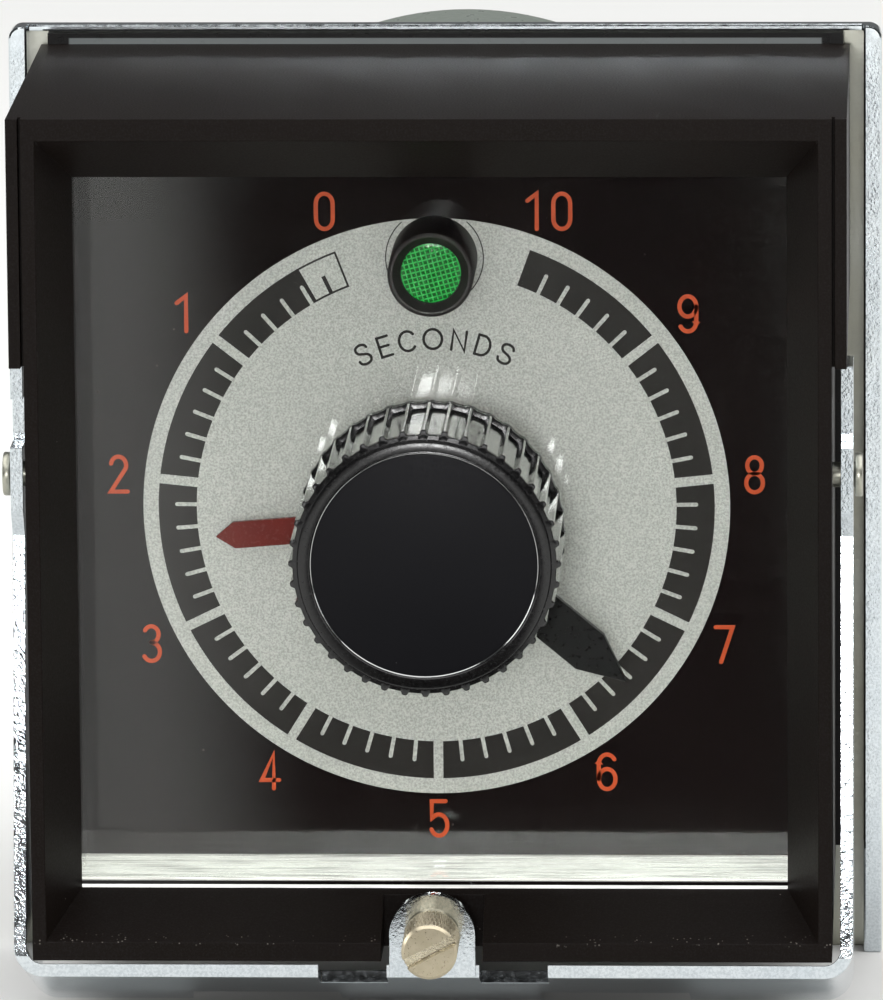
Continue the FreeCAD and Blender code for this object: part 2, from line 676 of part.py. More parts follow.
lamp_at = (0, lamp_rise)
lamp_front_y = pane_back_y + lamp_clear
lens_y = lamp_front_y + lens_sink
lens_back_y = lens_y + lens_length
neck_end_y = front_plate_y - 1
bulb_bore = bulb_radius + hole_gap
node("lamp_barrel", revolve("lamp_barrel_body", [
    (lens_radius, lamp_front_y), (lamp_radius, lamp_front_y), (lamp_radius, dial_y),
    (lamp_neck, dial_y), (lamp_neck, neck_end_y), (bulb_bore, neck_end_y),
    (bulb_bore, lens_back_y), (lens_radius, lens_back_y)], lamp_at))
node("lamp_lens", rod("lamp_lens_disc", lens_radius - running_gap, lens_y, lens_back_y, lamp_at))
holder_end_y = neck_end_y + holder_length
bulb_y = lens_back_y + 0.5
node("lamp_holder", revolve("lamp_holder_body", [
    (bulb_bore, neck_end_y), (holder_radius, neck_end_y), (holder_radius, holder_end_y),
    (0, holder_end_y), (0, bulb_y + bulb_length), (bulb_bore, bulb_y + bulb_length)], lamp_at))
node("neon_bulb", rod("neon_bulb_glass", bulb_radius, bulb_y, bulb_y + bulb_length, lamp_at))


# --------------------------------------------------- plates and their stack

tie_hole = tie_radius + hole_gap
arbor_hole = arbor_radius + running_gap
tie_holes = [(tie_hole, x, z) for x, z in spacer_centres]
square = oblong((-plate_half, plate_half), (plate_foot, plate_top))
node("front_plate", plate("front_plate_body", square, tie_holes + [
    (bush_radius + hole_gap, 0, 0), (holder_radius + hole_gap, 0, lamp_rise),
    (arbor_hole, arbor_x, arbor_z)], front_plate_y, plate_thick))
node("bridge_plate", plate("bridge_plate_body", square, tie_holes + [
    (shaft_radius + running_gap, 0, 0), (arbor_hole, arbor_x, arbor_z)], bridge_y, plate_thick))
node("chassis_flange", plate(
    "chassis_flange_body",
    oblong((-flange_width / 2, flange_width / 2), (-flange_bottom, flange_top)),
    tie_holes + [(hood_screw + hole_gap, x, z) for x, z in boss_centres] + [
        (arbor_hole, arbor_x, arbor_z), (arbor_radius + 1, 0, can_rise)],
    flange_y, flange_thick))
levels = [
    (dial_back_y, front_plate_y),
    (front_plate_y + plate_thick, bridge_y),
    (bridge_back_y, flange_y),
]
node("spacers", group("spacer_group", [
    tube(f"spacer_{i}_{j}", spacer_radius, tie_hole, low, high, at)
    for i, (low, high) in enumerate(levels) for j, at in enumerate(spacer_centres)]))
tie_screws = [
    fuse(f"tie_screw_{i}",
         rod(f"tie_shank_{i}", tie_radius, dial_back_y + 0.3, flange_back_y, at),
         rod(f"tie_head_{i}", tie_head, flange_back_y, flange_back_y + 1.6, at))
    for i, at in enumerate(spacer_centres)]
node("tie_screws", group("tie_screw_group", tie_screws))
hood_screws = [
    fuse(f"hood_screw_{i}",
         rod(f"hood_shank_{i}", hood_screw, hood_back_y - hood_screw_bite, flange_back_y, at),
         rod(f"hood_screw_head_{i}", hood_screw * 2, flange_back_y, flange_back_y + 1.6, at))
    for i, at in enumerate(boss_centres)]


# ------------------------------------------------ panel plate, trim and can

screw_pockets = [(tie_head + 0.4, x, z) for x, z in spacer_centres]
screw_pockets += [(hood_screw * 2 + 0.4, x, z) for x, z in boss_centres]
panel_half = panel_plate_width / 2
opening = rod("panel_opening", panel_plate_hole, flange_back_y - 1, 1, (0, can_rise))
screw_clearances = [
    rod(f"panel_screw_clearance_{i}", radius, flange_back_y - 1, 1, (x, z))
    for i, (radius, x, z) in enumerate(screw_pockets)]
panel_sheet = box("panel_sheet", (-panel_half, panel_half), (flange_back_y, 0),
                  (-foot_level, trim_top - trim_bar - 0.1))
studs = [rod(f"panel_stud_{i}", stud_radius, 0, stud_length, at) for i, at in enumerate(stud_centres)]
node("panel_plate", cut("panel_plate_cut", panel_sheet, opening, *screw_clearances))
node("panel_studs", group("panel_stud_group", studs))

trim_half = trim_width / 2
trim_inner = trim_half - trim_side
side_bars = [
    box("trim_left", (-trim_half, -trim_inner), (trim_y, flange_back_y), (-foot_level, trim_top)),
    box("trim_right", (trim_inner, trim_half), (trim_y, flange_back_y), (-foot_level, trim_top))]
top_bar = box("trim_top_bar", (-trim_half, trim_half), (trim_y + trim_bar_setback, flange_back_y),
              (trim_top - trim_bar, trim_top))
trim_blank = fuse("trim_blank", top_bar, *side_bars)
node("trim_frame", rounded(
    "trim_rounded", trim_blank, 1.6,
    lambda m, e: abs(abs(m.x) - trim_half.value) < 0.01 and abs(m.z - trim_top.value) < 0.01))

node("housing_can", revolve("housing_can_body", [
    (can_radius - can_wall, 0), (can_radius, 0), (can_radius, can_depth), (0, can_depth),
    (0, can_depth - can_wall), (can_radius - can_wall, can_depth - can_wall)], (0, can_rise)))

cradle = rod("box_cradle", can_radius + box_gap, -1, can_depth, (0, can_rise))
block = box("terminal_block", (-box_width / 2, box_width / 2), (0, box_depth), (-box_bottom, -box_top))
fins = [
    box(f"terminal_fin_{i}",
        (terminal_pitch * (i - terminal_count / 2) - fin_thick / 2,
         terminal_pitch * (i - terminal_count / 2) + fin_thick / 2),
        (box_depth - 0.5, box_depth + fin_depth), (-box_bottom, -fin_top))
    for i in range(terminal_count + 1)]
node("terminal_box", cut("terminal_box_cut", fuse("terminal_blank", block, *fins), cradle))
middle_z = -(box_bottom + fin_top) / 2
terminal_xs = [terminal_pitch * (i + 0.5 - terminal_count / 2) for i in range(terminal_count)]
node("terminal_plates", group("terminal_plate_group", [
    box(f"terminal_plate_{i}", (x - 2.4, x + 2.4), (box_depth, box_depth + 0.8),
        (middle_z - 6, middle_z + 6))
    for i, x in enumerate(terminal_xs)]))
node("terminal_screws", group("terminal_screw_group", [
    cut(f"terminal_screw_{i}",
        rod(f"terminal_head_{i}", 2.1, box_depth + 0.8, box_depth + 3.0, (x, middle_z)),
        box(f"terminal_slot_{i}", (x - 3, x + 3), (box_depth + 2.2, box_depth + 4),
            (middle_z - 0.4, middle_z + 0.4)))
    for i, x in enumerate(terminal_xs)]))
node("rear_feet", group("rear_foot_group", [
    rod(f"rear_foot_{i}", foot_radius, -foot_level, -box_bottom, (sign * foot_span / 2, foot_back), "z")
    for i, sign in enumerate((-1, 1))]))


# ------------------------------------------------------- spindle and hands

front_plate_back_y = front_plate_y + plate_thick
node("spindle_bush", revolve("spindle_bush_body", [
    (sleeve_radius + running_gap, (dial_y - bush_proud)), (bush_radius, (dial_y - bush_proud)),
    (bush_radius, front_plate_back_y), (bush_flange, front_plate_back_y),
    (bush_flange, front_plate_back_y + bush_flange_thick),
    (sleeve_radius + running_gap, front_plate_back_y + bush_flange_thick)]))
hexagon = [
    (nut_radius * math.cos(math.radians(60 * i)), nut_radius * math.sin(math.radians(60 * i)))
    for i in range(6)]
node("bush_nut", plate("bush_nut_body", hexagon, [(bush_radius, 0, 0)],
                       front_plate_y - nut_thick, nut_thick))

shaft_front_y = back_from_rim(-knob_bore_end)
node("setting_shaft", rod("setting_shaft_bar", shaft_radius, shaft_front_y, bridge_back_y))
set_y = pane_back_y + set_clear
elapsed_y = set_y + set_thick + hand_clear
sleeve_y = set_y + set_thick + sleeve_clear
sleeve_back_y = front_plate_y + sleeve_end
node("elapsed_sleeve", tube("elapsed_sleeve_tube", sleeve_radius, shaft_radius + running_gap,
                            sleeve_y, sleeve_back_y))


def make_hand(name, hub, bore, blade, reach, taper, thick, front_y, turn):
    """A flat hand: a round hub and a pointed blade, turned about the spindle."""
    body = doc.addObject("PartDesign::Body", name + "_body")
    disc = sketch_on(body, name + "_hub_outline", front_y)
    circle(disc, hub)
    pad(body, name + "_hub", disc, thick)
    arm = sketch_on(body, name + "_blade_outline", front_y)
    half = blade / 2
    polygon(arm, [(-half, 0), (half, 0), (half, reach - taper), (0, reach), (-half, reach - taper)])
    pad(body, name + "_blade", arm, thick)
    hole = sketch_on(body, name + "_bore_outline", front_y)
    circle(hole, bore)
    pocket(body, name + "_bore", hole, thick)
    body.Placement = FreeCAD.Placement(Vector(), FreeCAD.Rotation(Vector(0, 1, 0), 0.0))
    body.Placement = FreeCAD.Placement(Vector(), FreeCAD.Rotation(Vector(0, 1, 0), turn.value))
    bind(body, "Placement.Rotation.Angle", turn)
    return body


node("set_hand", make_hand("set_hand", set_hub, shaft_radius, set_blade, set_reach, set_taper,
                           set_thick, set_y, set_angle))
node("elapsed_hand", make_hand("elapsed_hand", elapsed_hub, sleeve_radius, elapsed_blade,
                               elapsed_reach, elapsed_taper, elapsed_thick, elapsed_y,
                               elapsed_angle))
finger_y = front_plate_y + finger_place
node("trip_finger", make_hand("trip_finger", arm_hub, sleeve_radius, arm_width, finger_reach,
                              arm_width / 2, finger_thick, finger_y, elapsed_angle))
node("setting_arm", make_hand("setting_arm", arm_hub, shaft_radius, arm_width, finger_reach,
                              arm_width / 2, finger_thick, sleeve_back_y + 0.6, set_angle))


# -------------------------------------------------------------------- knob

def make_knob():
    """Black core, metal ribbed grip, bright ring, inlay and set screw."""
    front_y = back_from_rim(-knob_front)
    back_y = window_y - knob_clear
    nose_y = front_y + knob_nose
    skirt_y = back_y - knob_skirt
    grip_out = knob_radius - rib_height
    grip_in = grip_out - grip_wall
    floor_y = front_y + inlay_sink + inlay_thick
    pocket_radius = inlay_radius + inlay_ring
    bore_y = shaft_front_y
    core = revolve("knob_core_body", [
        (0, floor_y), (pocket_radius, floor_y), (pocket_radius, front_y), (grip_out - 0.6, front_y),
        (grip_out, front_y + 0.5), (grip_out, nose_y), (grip_in, nose_y), (grip_in, skirt_y),
        (knob_radius, skirt_y), (knob_radius, back_y), (shaft_radius, back_y),
        (shaft_radius, bore_y), (0, bore_y)])
    screw_y = back_from_rim(setscrew_depth)
    screw_hole = rod("knob_setscrew_hole", setscrew_radius, -knob_radius - 1, -shaft_radius,
                     (screw_y, 0), "x")
    node("knob_core", cut("knob_core_cut", core, screw_hole))

    grip = revolve("knob_grip_tube", [
        (grip_in, nose_y), (grip_out, nose_y), (grip_out, skirt_y), (grip_in, skirt_y)])
    ridge = sketch_on(grip, "knob_rib_outline", nose_y)
    rectangle(ridge, (-rib_width / 2, rib_width / 2), (grip_out - grip_wall / 2, knob_radius - 0.02))
    rib = pad(grip, "knob_rib", ridge, skirt_y - nose_y)
    ribs = grip.newObject("PartDesign::PolarPattern", "knob_ribs")
    ribs.Originals = [rib]
    ribs.Axis = (plane(grip, "Y_Axis"), [""])
    ribs.Angle = 360
    ribs.Occurrences = rib_count
    grip.Tip = ribs
    grip_hole = rod("grip_setscrew_hole", setscrew_radius, -knob_radius - 1, -grip_in + 1,
                    (screw_y, 0), "x")
    node("knob_grip", cut("knob_grip_cut", grip, grip_hole))
    inlay_y = front_y + inlay_sink
    node("knob_inlay", rod("knob_inlay_disc", inlay_radius, inlay_y, floor_y))
    node("knob_ring", tube("knob_ring_tube", pocket_radius, inlay_radius, front_y + 0.05, floor_y))
    node("knob_setscrew", rod("knob_setscrew_bar", setscrew_radius, -grip_out + 0.6,
                              -shaft_radius, (screw_y, 0), "x"))


make_knob()


# -------------------------------------------------------------- gear train

def toothed(name, teeth, bore, front_y, thick, at, phase):
    """A spur gear. Teeth are thinned, so that a pair runs with clear backlash."""
    pitch = tooth_module.value * teeth / 2
    tip = pitch + 0.75 * tooth_module.value
    root = pitch - 1.15 * tooth_module.value
    share = [(root, 0.30), (pitch, 0.20), (tip, 0.10)]
    points = []
    for i in range(teeth):
        middle = 360.0 * (i + phase) / teeth
        step = 360.0 / teeth
        flank = [(radius, middle - part * step) for radius, part in share]
        flank += [(radius, middle + part * step) for radius, part in reversed(share)]
        points += [
            Vector(r * math.sin(math.radians(a)), 0, r * math.cos(math.radians(a))) for r, a in flank]
    disc = Part.Face(Part.makePolygon(points + points[:1]))
    wheel = disc.extrude(Vector(0, length(thick).value, 0))
    hole = Part.makeCylinder(length(bore).value, thick.value + 2, Vector(0, -1, 0), Vector(0, 1, 0))
    gear = doc.addObject("Part::Feature", name)
    gear.Shape = wheel.cut(hole)
    place(gear, at[0], front_y, at[1])
    return gear


def bearing_angle(from_at, to_at):
    """Direction from one axis to another, clockwise from +Z towards +X."""
    across = length(to_at[0]).value - length(from_at[0]).value
    up = length(to_at[1]).value - length(from_at[1]).value
    return math.degrees(math.atan2(across, up))


def meshing_phase(teeth, angle, gap):
    """Turns a gear so that a tooth, or the gap after it, faces an angle."""
    return (teeth * angle / 360.0 + (0.5 if gap else 0.0)) % 1.0


spindle_at = (0, 0)
arbor_at = (arbor_x, arbor_z)
motor_at = (0, can_rise)
to_arbor = bearing_angle(spindle_at, arbor_at)
to_spindle = bearing_angle(arbor_at, spindle_at)
motor_to_arbor = bearing_angle(motor_at, arbor_at)
arbor_to_motor = bearing_angle(arbor_at, motor_at)
wheel_y = front_plate_y + elapsed_wheel_place
arbor_wheel_y = bridge_y + arbor_wheel_place
pinion_lap = (pinion_thick - wheel_thick) / 2
node("elapsed_wheel", toothed("elapsed_wheel_gear", wheel_teeth, sleeve_radius, wheel_y, wheel_thick,
                              spindle_at, meshing_phase(wheel_teeth, to_arbor, True)))
node("arbor_pinion", toothed("arbor_pinion_gear", pinion_teeth, arbor_radius, wheel_y - pinion_lap,
                             pinion_thick, arbor_at, meshing_phase(pinion_teeth, to_spindle, False)))
node("arbor_wheel", toothed("arbor_wheel_gear", wheel_teeth, arbor_radius, arbor_wheel_y,
                            wheel_thick, arbor_at,
                            meshing_phase(wheel_teeth, arbor_to_motor, True)))
node("motor_pinion", toothed("motor_pinion_gear", pinion_teeth, arbor_radius,
                             arbor_wheel_y - pinion_lap, pinion_thick, motor_at,
                             meshing_phase(pinion_teeth, motor_to_arbor, False)))
node("arbor", rod("arbor_bar", arbor_radius, front_plate_y + 0.3, flange_back_y - 0.4, arbor_at))
clutch_y = front_plate_y + clutch_place
node("clutch_disc", tube("clutch_disc_ring", clutch_radius, arbor_radius, clutch_y,
                         clutch_y + clutch_thick, arbor_at))


# ------------------------------------------------------------ return spring

def spiral_edges(offset):
    """Half-circle arcs that grow by one step each, shifted by an offset."""
    edges = []
    centre, side = 0.0, -1
    radius = spring_start.value + offset
    for _ in range(spring_halves):
        start = Vector(centre + side * radius, 0, 0)
        middle = Vector(centre, 0, radius if side > 0 else -radius)
        end = Vector(centre - side * radius, 0, 0)
        edges.append(Part.Arc(start, middle, end).toShape())
        centre += side * spring_step.value
        radius += spring_step.value
        side = -side
    return edges


def make_spring():
    """The flat return spring, from the sleeve out to its post."""
    half = spring_thick.value / 2
    outer, inner = spiral_edges(half), spiral_edges(-half)
    caps = [
        Part.makeLine(*sorted((v.Point for v in outer[i].Vertexes + inner[i].Vertexes),
                              key=lambda point: point.x)[:2])
        for i in (0, -1)]
    wire = Part.Wire(Part.__sortEdges__(outer + inner + caps))
    strip = Part.Face(wire).extrude(Vector(0, spring_width.value, 0))
    tail_end = -(post_place - pin_radius).value + running_gap.value
    coil_end = min(v.Point.x for v in outer[-1].Vertexes)
    tail = Part.makeBox(coil_end - tail_end + half, spring_width.value, spring_thick.value,
                        Vector(tail_end, 0, -half))
    spring = doc.addObject("Part::Feature", "return_spring_strip")
    spring.Shape = strip.fuse(tail).removeSplitter()
    return spring


spring_feature = make_spring()
place(spring_feature, 0, front_plate_y + spring_place, 0)
node("return_spring", spring_feature)


# ------------------------------------------------------------------- motor

motor_y = flange_back_y
motor_end_y = motor_y + motor_length
case_bore = motor_radius - motor_wall
coil_y = motor_y + (motor_length - coil_length) / 2
case_shell = revolve("motor_case_shell", [
    (arbor_radius + running_gap, motor_y), (motor_radius, motor_y), (motor_radius, motor_end_y),
    (0, motor_end_y), (0, motor_end_y - motor_wall), (case_bore, motor_end_y - motor_wall),
    (case_bore, motor_y + motor_wall), (arbor_radius + running_gap, motor_y + motor_wall)], motor_at)
ear_holes, ears, motor_screws = [], [], []
for i, sign in enumerate((-1, 1)):
    ear_at = (sign * motor_ear, can_rise)
    ears.append(rod(f"motor_ear_{i}", motor_ear_radius, motor_y, motor_y + motor_ear_thick, ear_at))
    inner_x, outer_x = sorted(
        [sign * (motor_radius - 0.5), sign * motor_ear], key=lambda e: e.value)
    ears.append(box(f"motor_web_{i}", (inner_x, outer_x), (motor_y, motor_y + motor_ear_thick),
                    (can_rise - motor_ear_radius, can_rise + motor_ear_radius)))
    ear_holes.append(rod(f"motor_ear_hole_{i}", hood_screw + hole_gap, motor_y - 1,
                         motor_y + motor_ear_thick + 1, ear_at))
    motor_screws.append(fuse(
        f"motor_screw_{i}",
        rod(f"motor_screw_head_{i}", hood_screw * 2, motor_y + motor_ear_thick,
            motor_y + motor_ear_thick + 1.6, ear_at),
        rod(f"motor_screw_shank_{i}", hood_screw, motor_y + 0.02, motor_y + motor_ear_thick + 0.5, ear_at)))
node("motor_case", cut("motor_case_cut", fuse("motor_case_blank", case_shell, *ears), *ear_holes))
node("case_screws", group("case_screw_group", hood_screws + motor_screws))
node("field_coil", tube("field_coil_ring", case_bore - 0.1, coil_inner, coil_y, coil_y + coil_length,
                        motor_at))
node("rotor", tube("rotor_ring", rotor_radius, arbor_radius, coil_y, coil_y + coil_length, motor_at))
node("motor_shaft", rod("motor_shaft_bar", arbor_radius, arbor_wheel_y - pinion_lap,
                        motor_end_y - motor_wall - 0.3, motor_at))


# ---------------------------------------------------------------- solenoid

pole_z = solenoid_foot
coil_z = pole_z + iron_thick
solenoid_y = front_plate_y + solenoid_place
yoke_y = (solenoid_y - iron_width / 2, solenoid_y + iron_width / 2)
yoke_x = solenoid_x + solenoid_radius + 0.3
coil_top = coil_z + solenoid_length
core_at = (solenoid_x, solenoid_y)
hinge_z = pole_z - pole_gap
node("solenoid_coil", tube("solenoid_coil_ring", solenoid_radius, core_radius, coil_z, coil_top,
                           core_at, "z"))
yoke_arm = box("yoke_arm", (yoke_x, yoke_x + iron_thick), yoke_y,
               (hinge_z + armature_gap, coil_top + iron_thick))
yoke_top = box("yoke_top", (solenoid_x - core_radius - 1, yoke_x + iron_thick), yoke_y,
               (coil_top, coil_top + iron_thick))
yoke_foot = box("yoke_foot", (yoke_x, yoke_x + 5), (front_plate_back_y, yoke_y[1]),
                (pole_z, pole_z + iron_thick))
core = rod("solenoid_core", core_radius, pole_z, coil_top, core_at, "z")
node("solenoid_yoke", fuse("solenoid_yoke_iron", yoke_arm, yoke_top, yoke_foot, core))
armature_left = solenoid_x - core_radius - 3
armature_bar = box("armature_bar", (armature_left, yoke_x + iron_thick / 2), yoke_y,
                   (hinge_z - iron_thick, hinge_z))
armature_knuckle = rod("armature_knuckle", iron_thick / 2, yoke_y[0], yoke_y[1],
                       (yoke_x + iron_thick / 2, hinge_z - iron_thick / 2))
armature_blade = box("armature_blade", (arbor_x - iron_thick / 2, arbor_x + iron_thick / 2),
                     (clutch_y, clutch_y + clutch_thick),
                     (arbor_z + clutch_radius + armature_gap, hinge_z - iron_thick + 0.5))
node("armature", fuse("armature_iron", armature_bar, armature_knuckle, armature_blade))


# ------------------------------------------------------------ trip switches

switch_box_top = -switch_top
switch_x = (-switch_left, -switch_left + switch_size)
switch_ys = []
for i in range(2):
    low = front_plate_y + switch_first + i * (switch_thick + switch_gap)
    switch_ys.append((low, low + switch_thick))
    mid_y = low + switch_thick / 2
    case = box(f"switch_block_{i}", switch_x, (low, low + switch_thick),
               (switch_box_top - switch_height, switch_box_top))
    pin_bores = [
        rod(f"switch_pin_bore_{i}_{j}", pin_radius, low - 1, low + switch_thick + 1,
            (x, switch_box_top - switch_height + 2.2))
        for j, x in enumerate((switch_x[0] + 6.5, switch_x[0] + 13.5))]
    bore = rod(f"switch_bore_{i}", plunger_radius + running_gap, switch_box_top - 4,
               switch_box_top + 1, (-plunger_place, mid_y), "z")
    node(f"trip_switch_{i + 1}", cut(f"switch_case_{i}", case, bore, *pin_bores))
    node(f"switch_plunger_{i + 1}", rod(f"switch_plunger_bar_{i}", plunger_radius,
                                        switch_box_top - 2.5, switch_box_top + plunger_proud,
                                        (-plunger_place, mid_y), "z"))
tag_xs = [switch_x[0] + 3, switch_x[0] + 10, switch_x[0] + 17]
node("switch_tags", group("switch_tag_group", [
    box(f"switch_tag_{i}_{j}", (x - 1.2, x + 1.2), (low + 2.6, low + 3.4),
        (switch_box_top - switch_height - 5, switch_box_top - switch_height))
    for i, (low, _) in enumerate(switch_ys) for j, x in enumerate(tag_xs)]))
screw_z = switch_box_top - switch_height + 2.2

lever_z = switch_box_top + plunger_proud + lever_gap
lever_y = (switch_ys[0][0] + 1, switch_ys[1][1] - 1)
lever_bar = box("lever_bar", (-plunger_place - 2.5, -lever_pivot_x), lever_y,
                (lever_z, lever_z + lever_thick))
lever_eye = rod("lever_eye", 2.0, lever_y[0], lever_y[1], (-lever_pivot_x, lever_z + 0.6))
lever_hole = rod("lever_hole", pin_radius + running_gap, lever_y[0] - 1, lever_y[1] + 1,
                 (-lever_pivot_x, lever_z + 0.6))
node("trip_lever", cut("trip_lever_cut", fuse("lever_blank", lever_bar, lever_eye), lever_hole))
pin_places = [
    (switch_x[0] + 6.5, screw_z), (switch_x[0] + 13.5, screw_z), (-lever_pivot_x, lever_z + 0.6),
    (-post_place, 0)]
node("cross_pins", group("cross_pin_group", [
    rod(f"cross_pin_{i}", pin_radius, front_plate_back_y, bridge_y, at)
    for i, at in enumerate(pin_places)]))


# ---------------------------------------------------- strap and thumb screw

def make_strap():
    """Bent chrome U: two arms, a floor that slopes back, and a tab for the screw."""
    half = strap_width / 2
    lean = FreeCAD.Rotation(Vector(1, 0, 0), -strap_slope.value)

    def leaning(name, x, y, z):
        """A block in the strap floor's own leaning frame."""
        blank = doc.addObject("Part::Box", name)
        for prop, (low, high) in zip(("Length", "Width", "Height"), (x, y, z)):
            bind(blank, prop, length(high) - low)
        corner = Vector(length(x[0]).value, length(y[0]).value, length(z[0]).value)
        start = Vector(0, back_from_rim(strap_front).value, -strap_drop.value)
        blank.Placement = FreeCAD.Placement(start + lean.multVec(corner), lean)
        return blank

    outer = leaning("strap_outer", (-half, half), (-26, 34), (0, 92))
    inner = leaning("strap_inner", (-half + strap_thick, half - strap_thick), (-27, 35),
                    (strap_thick, 93))
    channel = cut("strap_channel", outer, inner)

    def is_corner(middle, edge):
        direction = edge.tangentAt(edge.FirstParameter)
        local = lean.inverted().multVec(middle - Vector(0, back_from_rim(strap_front).value,
                                                        -strap_drop.value))
        return abs(direction.x) < 0.01 and abs(direction.z + math.sin(math.radians(
            strap_slope.value)) * (1 if direction.y > 0 else -1)) < 0.02 and local.z < 3

    doc.recompute()
    bent = doc.addObject("Part::Fillet", "strap_bent")
    bent.Base = channel
    rounds = []
    for i, edge in enumerate(channel.Shape.Edges):
        middle = edge.CenterOfMass
        if is_corner(middle, edge):
            outside = abs(abs(middle.x) - half.value) < 0.01
            size = strap_bend.value if outside else (strap_bend - strap_thick).value
            rounds.append((i + 1, size, size))
    bent.Edges = rounds

    side = doc.addObject("PartDesign::Body", "strap_side_body")
    profile = sketch_on(side, "strap_side_profile", -half - 1, "YZ_Plane")
    polygon(profile, [(back_from_rim(d), z) for d, z in (
        (strap_front, -strap_drop - 1), (strap_back, -foot_level),
        (strap_back, -strap_drop + 2), (pivot_depth + 5, pivot_rise - 12),
        (pivot_depth + 4.6, arm_top), (pivot_depth - 2.4, arm_top),
        (pivot_depth - 2.4, arm_top - 4), (pivot_depth + 0.6, arm_top - 4),
        (pivot_depth + 0.6, pivot_rise + 3.9), (pivot_depth - 4, pivot_rise + 3.9),
        (pivot_depth - 4, pivot_rise - 3.8), (pivot_depth - 2, pivot_rise - 7),
        (strap_front, -strap_drop + 2.5))])
    pad(side, "strap_side", profile, 2 * half + 2)
    trimmed = doc.addObject("Part::Common", "strap_trimmed")
    trimmed.Base = bent
    trimmed.Tool = side

    tab = doc.addObject("PartDesign::Body", "strap_tab_body")
    shape = sketch_on(tab, "strap_tab_outline", back_from_rim(tab_depth))
    rectangle(shape, (-tab_radius, tab_radius), (-strap_drop + 0.4, -thumb_drop))
    pad(tab, "strap_tab_sheet", shape, strap_thick)
    crown = sketch_on(tab, "strap_tab_crown_outline", back_from_rim(tab_depth))
    circle(crown, tab_radius, 0, -thumb_drop)
    pad(tab, "strap_tab_crown", crown, strap_thick)
    tongue = leaning("strap_tongue", (-tab_radius, tab_radius), (-1.3, 4), (0.3, strap_thick + 0.3))

    cutters = [rod("strap_screw_hole", thread_radius + 0.3, back_from_rim(tab_depth) - 1,
                   back_from_rim(tab_depth) + strap_thick + 1, (0, -thumb_drop))]
    reliefs = []
    for mark, sign in (("left", -1), ("right", 1)):
        near, far = sorted([sign * (tab_radius + 0.4), sign * (tab_radius + tab_relief)],
                           key=lambda e: e.value)
        reliefs.append(leaning(f"strap_relief_{mark}", (near, far), (-3, tab_relief_deep), (-2, 4)))
        near, far = sorted([sign * notch_inner, sign * notch_outer], key=lambda e: e.value)
        rear = (strap_back - strap_front) / math.cos(math.radians(strap_slope.value))
        reliefs.append(leaning(f"strap_notch_{mark}", (near, far), (rear - notch_deep, rear + 6),
                               (-2, 4)))
    blank = cut("strap_relieved", trimmed, *reliefs)
    eye = rod("strap_pivot_hole", pivot_radius + running_gap, -half - 1, half + 1,
              (back_from_rim(pivot_depth), pivot_rise), "x")
    joined = fuse("strap_joined", blank, tab, tongue)
    return node("strap", cut("strap_cut", joined, eye, *cutters))


make_strap()
stud_out = strap_width / 2 + 0.2
pivot_at = (back_from_rim(pivot_depth), pivot_rise)
pivot_studs = []
for i, sign in enumerate((-1, 1)):
    spans = [
        ("shank", pivot_radius, cavity_half, stud_out),
        ("head", pivot_head, stud_out, stud_out + pivot_head_thick),
        ("washer", pivot_head, cavity_half - 0.8, cavity_half)]
    bars = []
    for part, radius, near, far in spans:
        low, high = sorted([sign * near, sign * far], key=lambda e: e.value)
        bars.append(rod(f"pivot_{part}_{i}", radius, low, high, pivot_at, "x"))
    pivot_studs.append(fuse(f"pivot_stud_{i}", *bars))
node("pivot_studs", group("pivot_stud_group", pivot_studs))

thumb_at = (0, -thumb_drop)
recess_y = back_from_rim(recess_depth)
node("threaded_insert", tube("threaded_insert_ring", insert_radius, thread_radius + insert_gap, recess_y,
                             recess_y + insert_length, thumb_at))
head_back_y = back_from_rim(tab_depth) - 0.05
head_y = head_back_y - thumb_length
thumb_head = rod("thumb_head", thumb_radius, head_y, head_back_y, thumb_at)
thumb_shank = rod("thumb_shank", thread_radius, head_back_y, back_from_rim(thread_end), thumb_at)
slot = doc.addObject("Part::Box", "thumb_slot_cutter")
bind(slot, "Length", 4 * thumb_radius)
bind(slot, "Width", thumb_slot + 1)
bind(slot, "Height", thumb_slot)
slot_turn = FreeCAD.Rotation(Vector(0, 1, 0), thumb_slot_angle.value)
slot_corner = slot_turn.multVec(Vector(-2 * thumb_radius.value, 0, -thumb_slot.value / 2))
slot.Placement = FreeCAD.Placement(
    Vector(slot_corner.x, (head_y - 1).value, -thumb_drop.value + slot_corner.z), slot_turn)
node("thumb_screw", cut("thumb_screw_cut", fuse("thumb_blank", thumb_head, thumb_shank), slot))
ring_y = recess_y - 0.4 - ring_thick
node("captive_ring", tube("captive_ring_ring", ring_radius, thread_radius + running_gap, ring_y,
                          ring_y + ring_thick, thumb_at))


# ------------------------------------------------------- checks and export

doc.recompute()
faults = []
for thing in doc.Objects:
    if any(word in ("Invalid", "Error") for word in thing.State):
        faults.append(f"{thing.Label}: {thing.State}")
for thing in nodes:
    if thing.Shape.isNull() or not thing.Shape.isValid() or not thing.Shape.Solids:
        faults.append(f"{thing.Label}: bad shape")
for feature in pockets:
    if not feature.Shape.Volume < feature.BaseFeature.Shape.Volume - 1e-6:
        faults.append(f"{feature.Label}: cuts nothing")
if faults:
    raise RuntimeError("; ".join(faults))
os.makedirs("parts", exist_ok=True)
for thing in nodes:
    thing.Shape.exportStep(f"parts/{thing.Label}.step")
    print(thing.Label, len(thing.Shape.Solids), round(thing.Shape.Volume, 1))
